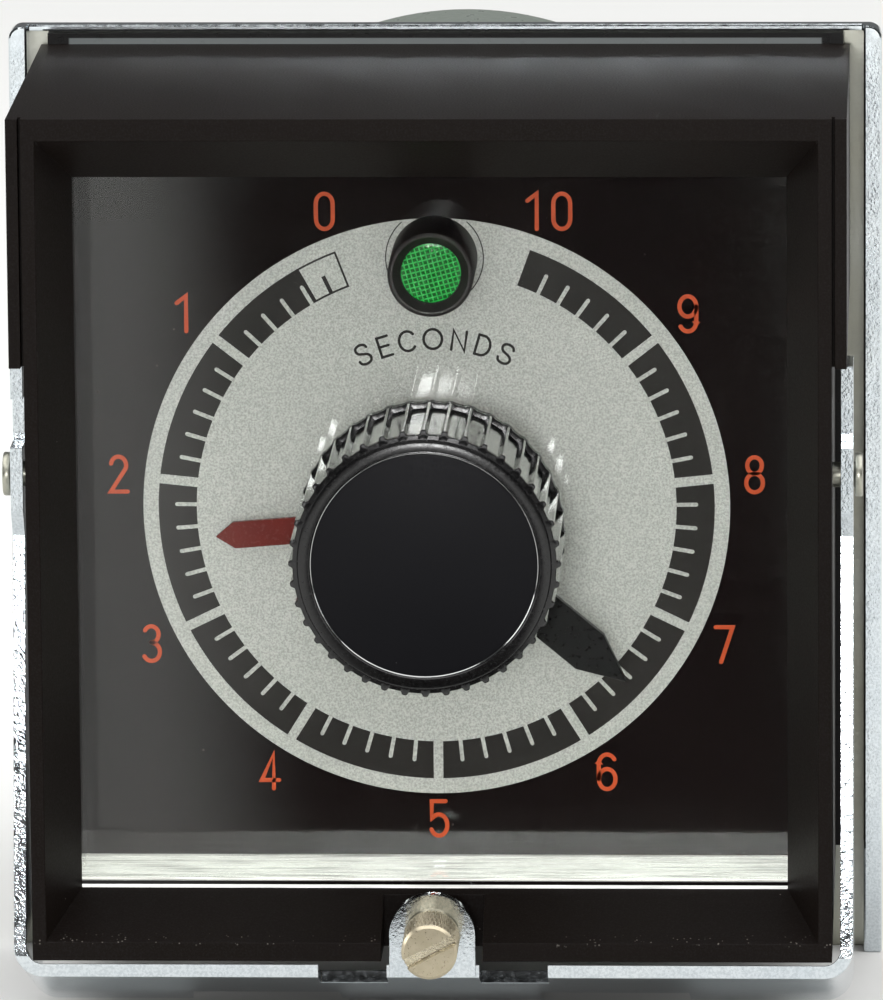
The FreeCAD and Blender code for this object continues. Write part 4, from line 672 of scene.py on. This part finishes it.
class DialSizes(bpy.types.PropertyGroup):
    """Sizes of what is printed on the dial."""
    disc: length("Silver disc", "Radius of the silver disc", 34.98)
    band_inner: length("Band inside", "Inner radius of the black band", 28.6)
    band_outer: length("Band outside", "Outer radius of the black band", 33.15)
    unit_gap: length("Unit line", "Width of the silver line at each number", 1.15)
    tick: length("Tick width", "Width of a minor tick", 0.47)
    tick_end: length("Tick end", "Radius at which a minor tick ends", 30.95)
    ticks: IntProperty(name="Parts of a unit", description="Parts between two numbers", default=6, min=1)
    first: turn("Zero", "Place of the zero, clockwise from the top", -20)
    unit: turn("Unit", "Turn from one number to the next", -32)
    zero_box: turn("Zero box", "How far the box before the zero reaches", 9.5)
    numeral: length("Numeral height", "Height of a number", 4.75)
    stroke: length("Numeral stroke", "Width of a number's stroke", 0.5)
    numeral_circle: length("Numeral circle", "Radius on which the numbers stand", 38.1)
    word: length("Word height", "Height of the unit word", 2.7)
    word_circle: length("Word circle", "Radius on which the unit word stands", 20.4)
    fine: length("Fine line", "Width of the unit word's strokes", 0.32)


class KnobSizes(bpy.types.PropertyGroup):
    """Sizes of the knob's ribs and rings."""
    ribs: IntProperty(name="Ribs", description="Ribs round the knob", default=40, min=8)
    rib: length("Rib width", "Width of a rib", 0.66)
    radius: length("Radius", "Knob over its ribs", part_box("knob_core")[1].x / MM)
    root: length("Root radius", "Metal between the ribs", 15.12)


class LampSizes(bpy.types.PropertyGroup):
    """Sizes of the pilot lamp's lens."""
    lens_pitch: length("Waffle pitch", "Rib to rib on the lens", 0.57)
    lens_turn: turn("Waffle turn", "Turn of the ribs from level", 15)
    lens_relief: length("Waffle depth", "Depth of the pits", 0.14)


class ScrewSizes(bpy.types.PropertyGroup):
    """Sizes of the thumb screw's head."""
    head: length("Head", "Length of the knurled head", 7.8)
    slot: length("Slot", "Width of the saw slot", 1.24)
    slot_depth: length("Slot depth", "Depth of the saw slot", 0.9)
    slot_turn: turn("Slot turn", "Turn of the slot from level", 27)
    knurls: IntProperty(name="Knurls", description="Knurls round the head", default=42, min=8)
    knurl: length("Knurl depth", "Depth of the knurling", 0.26)


class StudioSettings(bpy.types.PropertyGroup):
    """Lights and floor."""
    key: power("Front light", "Power of the light beside the camera", 3.4)
    top: power("Top light", "Power of the overhead softbox", 48.0)
    side: power("Side light", "Power of the softboxes at the sides", 5.0)
    room: power("Room", "Strength of the light from all round", 0.16)
    floor: FloatVectorProperty(
        name="Floor", description="Colour of the floor", default=linear("#f1f1ef")[:3], subtype="COLOR")


# ---------------------------------------------------------------- operators

class TIMER_OT_stage(bpy.types.Operator):
    """Sets up the pale floor, the soft lights and the camera"""
    bl_idname = "timer.stage"
    bl_label = "Stage"

    def execute(self, context):
        scene = context.scene
        studio = scene.timer_studio
        scene.view_settings.view_transform = "Standard"
        base = cad_box[0][2]
        bm = bmesh.new()
        bm.faces.new([bm.verts.new((x, y, base)) for x, y in ((-4, -4), (4, -4), (4, 4), (-4, 4))])
        mesh = close(bm, "floor")
        paper = Finish("backdrop_paper", "#f3f3f1", "#efefed", (0.75, 0.9), patch=300, grain=1.5, relief=10)
        paper.colour = paper.put("MixRGB", (paper.cloud, (*studio.floor, 1.0), linear("#f4f4f2")))
        mesh.materials.append(paper.done(Specular_IOR_Level=0.2))
        floor = bpy.data.objects.new("floor", mesh)

        # The walls are dark behind the camera and pale to the sides, above and behind the timer.
        scene.world = bpy.data.worlds.new("room")
        scene.world.use_nodes = True
        tree = scene.world.node_tree
        way = add(tree, "SeparateXYZ", (add(tree, "TexCoord")["Generated"],))["Y"]
        share = add(tree, "MapRange", (way, -0.95, -0.2, 0.0, 1.0))[0]
        wall = add(tree, "MixRGB", (share, linear("#2c2926"), linear("#f2f4f5")))[0]
        feed(tree, tree.nodes["Background"], (wall, studio.room))
        lamps = (
            ("key_light", studio.key, 0.16, (-0.02, -1.25, 0.176), (0, 0, 0)),
            ("top_light", studio.top, 2.6, (0.1, -0.15, 1.5), (0, 0.1, 0)),
            ("left_light", studio.side, 0.7, (-1.25, -0.3, 0.4), (0, 0, 0)),
            ("right_light", studio.side * 0.6, 0.7, (1.25, -0.1, 0.4), (0, 0, 0)),
        )
        for name, watts, size, place, aim in lamps:
            data = bpy.data.lights.new(name, "AREA")
            data.energy, data.size = watts, size
            lamp = bpy.data.objects.new(name, data)
            lamp.location = place
            lamp.rotation_euler = (Vector(aim) - Vector(place)).to_track_quat("-Z", "Y").to_euler()
            context.collection.objects.link(lamp)

        # A black card lies before the timer, where the window mirrors the floor; only reflections see it.
        card = bpy.data.materials.new("black_card")
        card.use_nodes = True
        tree = card.node_tree
        across = add(tree, "SeparateXYZ", (add(tree, "TexCoord")["UV"],))["X"]
        share = add(tree, "MapRange", (across, 0.1, 0.36, 0.5, 1.0), interpolation_type="SMOOTHSTEP")[0]
        mixed = add(tree, "MixShader", (
            share, add(tree, "BsdfTransparent")[0], add(tree, "BsdfDiffuse", (linear("#121011"),))[0]))[0]
        feed(tree, tree.nodes["Material Output"], {"Surface": mixed})
        bm = bmesh.new()
        edges = bm.loops.layers.uv.new("across")
        # It widens as the sight lines do, so that it fills the window and no more.
        eye, pane, half = Vector((0.0573, 1.2085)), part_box("window")[0].y, 0.0437
        corners = []
        for side, y in ((-1, -0.82), (1, -0.82), (1, -0.115), (-1, -0.115)):
            x = eye.x + (side * half - eye.x) * (eye.y - y) / (eye.y - pane)
            corners.append(bm.verts.new((x, y, base + 2 * MM)))
        for loop, u in zip(bm.faces.new(corners).loops, (0, 1, 1, 0)):
            loop[edges].uv = (u, 0)
        mesh = close(bm, "card")
        mesh.materials.append(card)
        flag = bpy.data.objects.new("card", mesh)
        flag.visible_camera = flag.visible_diffuse = flag.visible_shadow = False
        for thing in (floor, flag):
            context.collection.objects.link(thing)

        data = bpy.data.cameras.new("camera")
        data.lens, data.sensor_width = 393.1, 36.0
        data.clip_start, data.clip_end = 0.05, 30.0
        camera = bpy.data.objects.new("camera", data)
        yaw, pitch, roll = (math.radians(a) for a in (2.552, 11.715, -0.452))
        ahead = Vector((-math.sin(yaw) * math.cos(pitch), math.cos(yaw) * math.cos(pitch), -math.sin(pitch)))
        level = Vector((math.cos(yaw), math.sin(yaw), 0))
        upward = level.cross(ahead)
        side = level * math.cos(roll) + upward * math.sin(roll)
        top = upward * math.cos(roll) - level * math.sin(roll)
        aim = Matrix((side, top, -ahead)).transposed().to_4x4()
        camera.matrix_world = Matrix.Translation((57.311 * MM, -1309.498 * MM, 264.964 * MM)) @ aim
        context.collection.objects.link(camera)
        scene.camera = camera
        return {"FINISHED"}


class TIMER_OT_hood(bpy.types.Operator):
    """Finishes the moulded hood"""
    bl_idname = "timer.hood"
    bl_label = "Hood"

    def execute(self, context):
        dress("hood", "abs", 0.22)
        return {"FINISHED"}


class TIMER_OT_window(bpy.types.Operator):
    """Finishes the clear window"""
    bl_idname = "timer.window"
    bl_label = "Window"

    def execute(self, context):
        dress("window", "acrylic", 0.12)
        return {"FINISHED"}


class TIMER_OT_dial(bpy.types.Operator):
    """Makes the dial's disc, band, ticks, numbers and unit word"""
    bl_idname = "timer.dial"
    bl_label = "Dial"

    def execute(self, context):
        sizes = context.scene.timer_dial
        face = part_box("dial_plate")[0].y / MM
        *_, lamp = measured("lamp_lens")
        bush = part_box("spindle_bush")[1].x / MM
        disc, inner, outer = sizes.disc / MM, sizes.band_inner / MM, sizes.band_outer / MM
        first, unit = math.degrees(sizes.first), math.degrees(sizes.unit)
        box, edge, reach = math.degrees(sizes.zero_box), 1.0, sizes.tick_end / MM
        # Each layer of ink stands a little prouder than the one that it is printed on.
        ink = [face - rise for rise in (0.0, 0.04, 0.07, 0.1)]
        dress("dial_plate", "lacquer", 0.1)
        hole, clear = circle(bush, count=64), circle(4.1, *lamp, 48)
        piece("silver_disc", plate([circle(disc, count=240), hole, clear], ink[1], ink[0]),
              "silver", "case", "dial_black")

        # The unit lines are as wide inside as outside, so the band's ends are set off, not radial.
        band = bmesh.new()
        gap = math.degrees(sizes.unit_gap / MM / 2)
        for n in range(10):
            loop = []
            for radius, order in ((outer, 1), (inner, -1)):
                ends = (first + unit * n - (gap / radius if n else box),
                        first + unit * (n + 1) + (gap / radius if n < 9 else 0.0))
                loop += around(radius, *ends[::order], step=1.0)
            plate([loop], ink[2], ink[1], band)
        piece("scale_band", band, "black_ink", "case", "dial_black")

        marks = [[toward(first + unit * part / sizes.ticks, radius) for radius in (inner - 0.5, reach)]
                 for part in range(2, 10 * sizes.ticks) if part % sizes.ticks]
        piece("minor_ticks", ribbons(marks, sizes.tick / MM, ink[3], ink[1]), "silver", "case", "dial_black")

        zero = bmesh.new()
        frame_line = around(outer - 0.1, first - box, first - edge, 2) + around(
            inner + 0.1, first - edge, first - box, 2)
        ribbons([frame_line + frame_line[:1]], 0.24, ink[3], ink[1], zero)
        angle = first + unit / sizes.ticks
        aside = toward(angle + 90, 0.24)
        plate([[toward(angle, r) + aside * s for r, s in ((inner, -1), (reach, -1), (reach, 1), (inner, 1))]],
              ink[3], ink[1], zero)
        # A fine dark line is drawn round the lamp, as far as the silver reaches.
        ring = [p for p in circle(5.8, *lamp, 120) if p.length < disc - 0.1]
        ribbons([ring], 0.13, ink[2], face - 0.03, zero)
        fine = sizes.fine / MM
        for mark, place in zip("SECONDS", (-24.8, -17.2, -9.4, -0.8, 8.0, 16.2, 24.3)):
            at = toward(place, sizes.word_circle / MM)
            ribbons(letter(mark, at, sizes.word / MM, fine, place), fine, ink[2], face - 0.03, zero)
        piece("scale_lettering", zero, "black_ink", "case", "dial_black")

        numbers = bmesh.new()
        high, stroke = sizes.numeral / MM, sizes.stroke / MM
        for n in range(11):
            at = toward(first + unit * n, sizes.numeral_circle / MM)
            for mark, shift in zip(str(n), (-1.3, 2.1) if n == 10 else (0.0,)):
                ribbons(letter(mark, at + Vector((shift, 0)), high, stroke), stroke, ink[1], ink[0], numbers)
        piece("numbers", numbers, "orange_ink", "case", "dial_black")
        return {"FINISHED"}


class TIMER_OT_lamp(bpy.types.Operator):
    """Makes the pilot lamp's bezel, waffle lens, bulb and holder"""
    bl_idname = "timer.lamp"
    bl_label = "Lamp"

    def execute(self, context):
        sizes = context.scene.timer_lamp
        low, high, centre = measured("lamp_barrel")
        out, front, back = high.x - centre.x, low.y, high.y
        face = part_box("dial_plate")[0].y / MM
        lens_low, lens_high, _ = measured("lamp_lens")
        bezel = [
            (3.6, front + 0.9), (3.95, front + 0.62), (4.3, front + 0.2), (4.5, front + 0.02), (4.72, front),
            (4.95, front + 0.12), (out, front + 0.4), (out, face), (4.0, face), (4.0, back), (2.8, back),
            (2.8, lens_high.y), (3.6, lens_high.y)]
        piece("lamp_bezel", turned(bezel, centre), "lamp_black", "case", "lamp_black", "lamp_barrel")

        pitch, depth = sizes.lens_pitch / MM, sizes.lens_relief / MM
        spin = Matrix.Rotation(sizes.lens_turn, 2)
        rings, steps, radius, dome = 54, 180, lens_high.x - centre.x, 0.35
        bm = bmesh.new()

        def raised(point):
            """Where the lens's face stands at a point from its centre: a dome, with pits between ribs."""
            near = min(abs((v / pitch + 0.5) % 1 - 0.5) for v in spin @ point)
            pit = min(1.0, max(0.0, (near - 0.1) / 0.28))
            edge = min(1.0, max(0.0, (radius - 0.35 - point.length) / 0.15))
            return lens_low.y + dome * (point.length / radius) ** 2 + depth * edge * pit

        axis = [corner(bm, centre.x, y, centre.y) for y in (raised(Vector((0, 0))), lens_high.y)]
        rows = [[axis[0]] * steps]
        for k in range(1, rings + 1):
            row = circle(radius * k / rings, count=steps)
            rows.append([corner(bm, centre.x + p.x, raised(p), centre.y + p.y) for p in row])
        rows.append([corner(bm, centre.x + p.x, lens_high.y, centre.y + p.y) for p in row])
        bridge(bm, rows + [[axis[1]] * steps])
        piece("waffle_lens", bm, "lens", "case", "lens_green", "lamp_lens")
        dress("lamp_holder", "switch", 0.2)
        dress("neon_bulb", "glass", 0.6)
        return {"FINISHED"}


class TIMER_OT_hands(bpy.types.Operator):
    """Finishes the set hand and the elapsed-time hand"""
    bl_idname = "timer.hands"
    bl_label = "Hands"

    def execute(self, context):
        dress("set_hand", "black_enamel", 0.16)
        dress("elapsed_hand", "red_enamel", 0.12)
        return {"FINISHED"}


class TIMER_OT_knob(bpy.types.Operator):
    """Makes the ribbed knob with its black rings and inlay"""
    bl_idname = "timer.knob"
    bl_label = "Knob"

    def execute(self, context):
        sizes = context.scene.timer_knob
        low, high, _ = measured("knob_core")
        front, back, top = low.y, high.y, sizes.radius / MM
        nose, skirt = (end.y for end in measured("knob_grip")[:2])
        root, half, count = sizes.root / MM, sizes.rib / MM / 2, sizes.ribs
        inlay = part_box("knob_inlay")[1].x / MM
        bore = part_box("setting_shaft")[0].y / MM
        pocket, body, share = inlay + 0.2, 15.36, 2 * math.pi / count

        def from_rib(angle):
            """Distance round the rim from the middle of the nearest rib, in mm."""
            part = (angle / share) % 1
            return min(part, 1 - part) * share * top

        def nubs(angle, radius, y):
            """The black core's rim: a nub at each rib in front, and shallow scallops round the skirt."""
            if radius < body:
                return radius
            if y > nose + 2:
                return radius - 0.14 * max(0.0, min(1.0, (from_rib(angle) - half) / 0.4))
            return body + (radius - body) * max(0.0, 1 - (from_rib(angle) / (half + 0.16)) ** 4)

        core = [
            (pocket, front + 0.3), (pocket, front + 0.12), (pocket + 0.12, front), (14.45, front),
            (14.7, front + 0.1), (14.85, front + 0.35), (14.85, nose - 0.5), (15.3, nose - 0.4),
            (15.5, nose - 0.3), (top - 0.1, nose - 0.1), (top, nose + 0.12), (top, nose + 0.4),
            (15.5, nose + 0.62), (14.2, nose + 0.7), (14.2, skirt - 0.02), (15.4, skirt),
            (top - 0.05, skirt + 0.12), (top, back - 0.2), (top - 0.2, back), (3.1, back), (3.1, bore),
            (0, bore), (0, front + 0.65), (pocket, front + 0.65)]
        shape = turned(core, steps=640, wave=nubs)
        piece("knob_body", shape, "knob_black", "knob", "knob_black", "knob_core")

        def ribbed(angle, radius, y):
            """The grip's rim: flats between round-backed ribs."""
            if radius < root - 0.2:
                return radius
            gone = from_rib(angle) / half
            lift = math.sqrt(1 - gone ** 4) if gone < 1 else 0.0
            flat = root * math.cos(share / 2) / math.cos((angle / share % 1 - 0.5) * share)
            return flat + (radius - root) * lift

        rise = top - 0.02
        grip = [(14.25, nose + 0.62), (rise - 0.1, nose + 0.62), (rise, nose + 0.75), (rise, skirt - 0.2),
                (rise - 0.12, skirt - 0.06), (14.25, skirt - 0.06)]
        piece("knob_ribbing", turned(grip, steps=640, wave=ribbed), "knob_chrome", "knob", "bright_chrome",
              "knob_grip")
        disc = [(0, front + 0.16), (inlay - 0.25, front + 0.16), (inlay - 0.06, front + 0.2),
                (inlay, front + 0.3), (inlay, front + 0.65), (0, front + 0.65)]
        piece("knob_face", turned(disc, steps=128), "inlay", "knob", "hand_black", "knob_inlay")
        ring = [(inlay, front + 0.12), (inlay + 0.08, front + 0.05), (pocket - 0.1, front + 0.05),
                (pocket, front + 0.14), (pocket, front + 0.65), (inlay, front + 0.65)]
        shape = turned(ring, steps=128)
        piece("knob_bright_ring", shape, "knob_chrome", "knob", "bright_chrome", "knob_ring")
        dress("knob_setscrew", "zinc", 0.15)
        return {"FINISHED"}


class TIMER_OT_strap(bpy.types.Operator):
    """Finishes the hinged strap and makes its thumb screw"""
    bl_idname = "timer.strap"
    bl_label = "Strap and thumb screw"

    def execute(self, context):
        sizes = context.scene.timer_screw
        dress("strap", "chrome", 0.3)
        dress("pivot_studs", "zinc", 0.2)
        dress("captive_ring", "nickel", 0.1)
        dress("threaded_insert", "brass", 0.1)
        low, high, centre = measured("thumb_screw")
        radius, front = high.x - centre.x, low.y
        seat, rim, floor = front + sizes.head / MM, front + 0.32, front + sizes.slot_depth / MM

        def knurl(angle, r, y):
            """Crossed spiral grooves between the head's chamfers."""
            if r < radius - 0.05 or y < front + 0.4 or y > seat - 0.6:
                return r
            turns, rise = angle * sizes.knurls / (2 * math.pi), y / 0.49
            painted_dark_line = min(abs((turns + rise) % 1 - 0.5), abs((turns - rise) % 1 - 0.5)) * 2
            return r - sizes.knurl / MM * max(0.0, 1 - 1.4 * painted_dark_line)

        outline = [(0, front), (radius - 0.42, front), (radius - 0.36, front), (radius - 0.1, front + 0.2)]
        outline += [(radius, rim + 0.0715 * i) for i in range(96)]
        outline += [(radius, seat - 0.5), (radius - 0.15, seat - 0.05), (radius - 0.4, seat), (1.5, seat),
                    (1.5, high.y - 0.3), (1.2, high.y), (0, high.y)]
        head = slotted(turned(outline, centre, 336, knurl), centre, math.degrees(sizes.slot_turn),
                       sizes.slot / MM, front - 1, floor)
        screw = piece("thumb_screw_head", head, "nickel", "screw", "nickel", "thumb_screw")
        # The slot's floor takes the brighter nickel: a painted highlight.
        screw.data.materials.append(finish("sawn"))
        for face in screw.data.polygons:
            x, y, z = face.center / MM
            if abs(y - floor) < 0.01 and (Vector((x, z)) - centre).length < radius:
                face.material_index = 1
        return {"FINISHED"}


class TIMER_OT_mounting(bpy.types.Operator):
    """Finishes the trim, the flange and the panel plate, and threads the studs"""
    bl_idname = "timer.mounting"
    bl_label = "Trim and panel plate"

    def execute(self, context):
        dress("trim_frame", "chrome", 0.25)
        dress("chassis_flange", "flange", 0.15)
        dress("panel_plate", "zinc", 0.15)
        low, high, _ = measured("panel_studs")
        bm = bmesh.new()
        end, pitch, steps, stud = high.y, 0.7, 24, 2.0
        count = round((end - 0.4) / 0.14)
        for x in (low.x + stud, high.x - stud):
            for z in (low.z + stud - 0.01, high.z - stud + 0.01):
                rows = []
                for k in range(count + 1):
                    y = 0.02 + (end - 0.04) * k / count
                    ease = min(1.0, max(0.0, (y - 0.6) / 0.8))
                    shoulder = min(1.0, (end - y) / 0.5) * 0.3 + 0.7
                    row = []
                    for i in range(steps):
                        tooth = abs(((y / pitch + i / steps) % 1) * 2 - 1)
                        p = toward(360 * i / steps, (stud - 0.02 - 0.4 * tooth * ease) * shoulder)
                        row.append(corner(bm, x + p.x, y, z + p.y))
                    rows.append(row)
                bridge(bm, rows)
                bm.faces.new(rows[0])
                bm.faces.new(reversed(rows[-1]))
        piece("threaded_studs", bm, "zinc", "case", "zinc_steel", "panel_studs")
        return {"FINISHED"}


class TIMER_OT_rear(bpy.types.Operator):
    """Makes the can, and finishes the terminal box with its screws, numbers and feet"""
    bl_idname = "timer.rear"
    bl_label = "Can and terminals"

    def execute(self, context):
        low, high, centre = measured("housing_can")
        out, end = high.x - centre.x, high.y
        shell = [(out - 1.2, 0.0), (out, 0.0), (out, 1.6), (out - 0.5, 2.1), (out - 0.5, end - 3.2)]
        shell += [(out - 3.2 + 2.7 * math.cos(a), end - 2.7 + 2.7 * math.sin(a))
                  for a in [math.radians(10 * i) for i in range(10)]]
        shell += [(out - 7, end), (out - 7.8, end - 0.8), (out - 13, end - 0.8), (out - 13.8, end),
                  (6.5, end), (5.9, end - 0.7), (0, end - 0.7), (0, end - 1.9), (out - 3.4, end - 1.9),
                  (out - 1.7, end - 3.6), (out - 1.7, 2.6), (out - 1.2, 2.0)]
        piece("drawn_can", turned(shell, centre, 160), "can", "case", "can_grey", "housing_can")
        dress("terminal_box", "phenolic", 0.25)
        dress("terminal_plates", "brass", 0.15)
        dress("rear_feet", "rubber", 0.9)

        low, high, centre = measured("terminal_screws")
        radius, count = (high.z - low.z) / 2, 8
        dome = [(0, high.y), (radius * 0.55, high.y - 0.06), (radius * 0.86, high.y - 0.35),
                (radius, high.y - 0.85), (radius, low.y), (0, low.y)]
        marks, behind = bmesh.new(), 46.0
        for i in range(count):
            x = low.x + radius + (high.x - low.x - 2 * radius) * i / (count - 1)
            # Every slot was left at an angle of its own.
            at, turn = (x, centre.y), (i * 47) % 180 - 90
            head = slotted(turned(dome, at, 40), at, turn, 0.64, high.y - 0.9, high.y + 1)
            piece(f"terminal_screw_{i + 1}", head, "nickel", "case", "nickel", "terminal_screws")
            mark = letter(str(count - i), (x, -35.5), 3.0, 0.4, mirror=-1)
            ribbons(mark, 0.4, behind - 0.02, behind + 0.25, marks)
        piece("terminal_numbers", marks, "phenolic", "case", "phenolic")
        return {"FINISHED"}


class TIMER_OT_works(bpy.types.Operator):
    """Finishes the plates, gears, motor, solenoid and switches inside"""
    bl_idname = "timer.works"
    bl_label = "Works"

    def execute(self, context):
        looks = {
            "zinc": ("front_plate", "bridge_plate", "tie_screws", "case_screws", "motor_case", "setting_arm",
                     "trip_finger", "trip_lever"),
            "nickel": ("spacers", "bush_nut", "cross_pins", "setting_shaft", "arbor", "motor_shaft"),
            "brass": ("spindle_bush", "switch_tags", "elapsed_sleeve", "elapsed_wheel", "arbor_pinion",
                      "arbor_wheel", "motor_pinion"),
            "iron": ("solenoid_yoke", "clutch_disc", "rotor", "armature"),
            "copper": ("field_coil", "solenoid_coil"),
            "spring": ("return_spring",),
            "switch": ("trip_switch_1", "trip_switch_2", "switch_plunger_1", "switch_plunger_2"),
        }
        toothed = ("elapsed_wheel", "arbor_pinion", "arbor_wheel", "motor_pinion", "return_spring")
        for look, nodes in looks.items():
            for node in nodes:
                dress(node, look, 0.0 if node in toothed else 0.12)
        return {"FINISHED"}


class TIMER_PT_panel(bpy.types.Panel):
    """Lists the timer's steps and its sizes"""
    bl_idname = "TIMER_PT_panel"
    bl_label = "Panel Reset Timer"
    bl_space_type = "VIEW_3D"
    bl_region_type = "UI"
    bl_category = "Timer"

    def draw(self, context):
        for step in STEPS:
            self.layout.operator(step.bl_idname)
        for group in GROUPS:
            box = self.layout.box()
            settings = getattr(context.scene, group)
            for name in settings.bl_rna.properties.keys():
                if name not in ("rna_type", "name"):
                    box.prop(settings, name)


STEPS = (TIMER_OT_stage, TIMER_OT_hood, TIMER_OT_window, TIMER_OT_dial, TIMER_OT_lamp, TIMER_OT_hands,
         TIMER_OT_knob, TIMER_OT_strap, TIMER_OT_mounting, TIMER_OT_rear, TIMER_OT_works)
GROUPS = {"timer_dial": DialSizes, "timer_knob": KnobSizes, "timer_lamp": LampSizes,
          "timer_screw": ScrewSizes, "timer_studio": StudioSettings}


def register():
    """Registers the settings, the operators and the panel."""
    for part in (*GROUPS.values(), *STEPS, TIMER_PT_panel):
        bpy.utils.register_class(part)
    for name, group in GROUPS.items():
        setattr(bpy.types.Scene, name, PointerProperty(type=group))


def unregister():
    """Takes them away again."""
    for name in GROUPS:
        delattr(bpy.types.Scene, name)
    for part in (TIMER_PT_panel, *reversed(STEPS), *reversed(GROUPS.values())):
        bpy.utils.unregister_class(part)


def main():
    """Runs every step in order."""
    register()
    for step in STEPS:
        area, name = step.bl_idname.split(".")
        getattr(getattr(bpy.ops, area), name)()


if __name__ == "__main__":
    main()
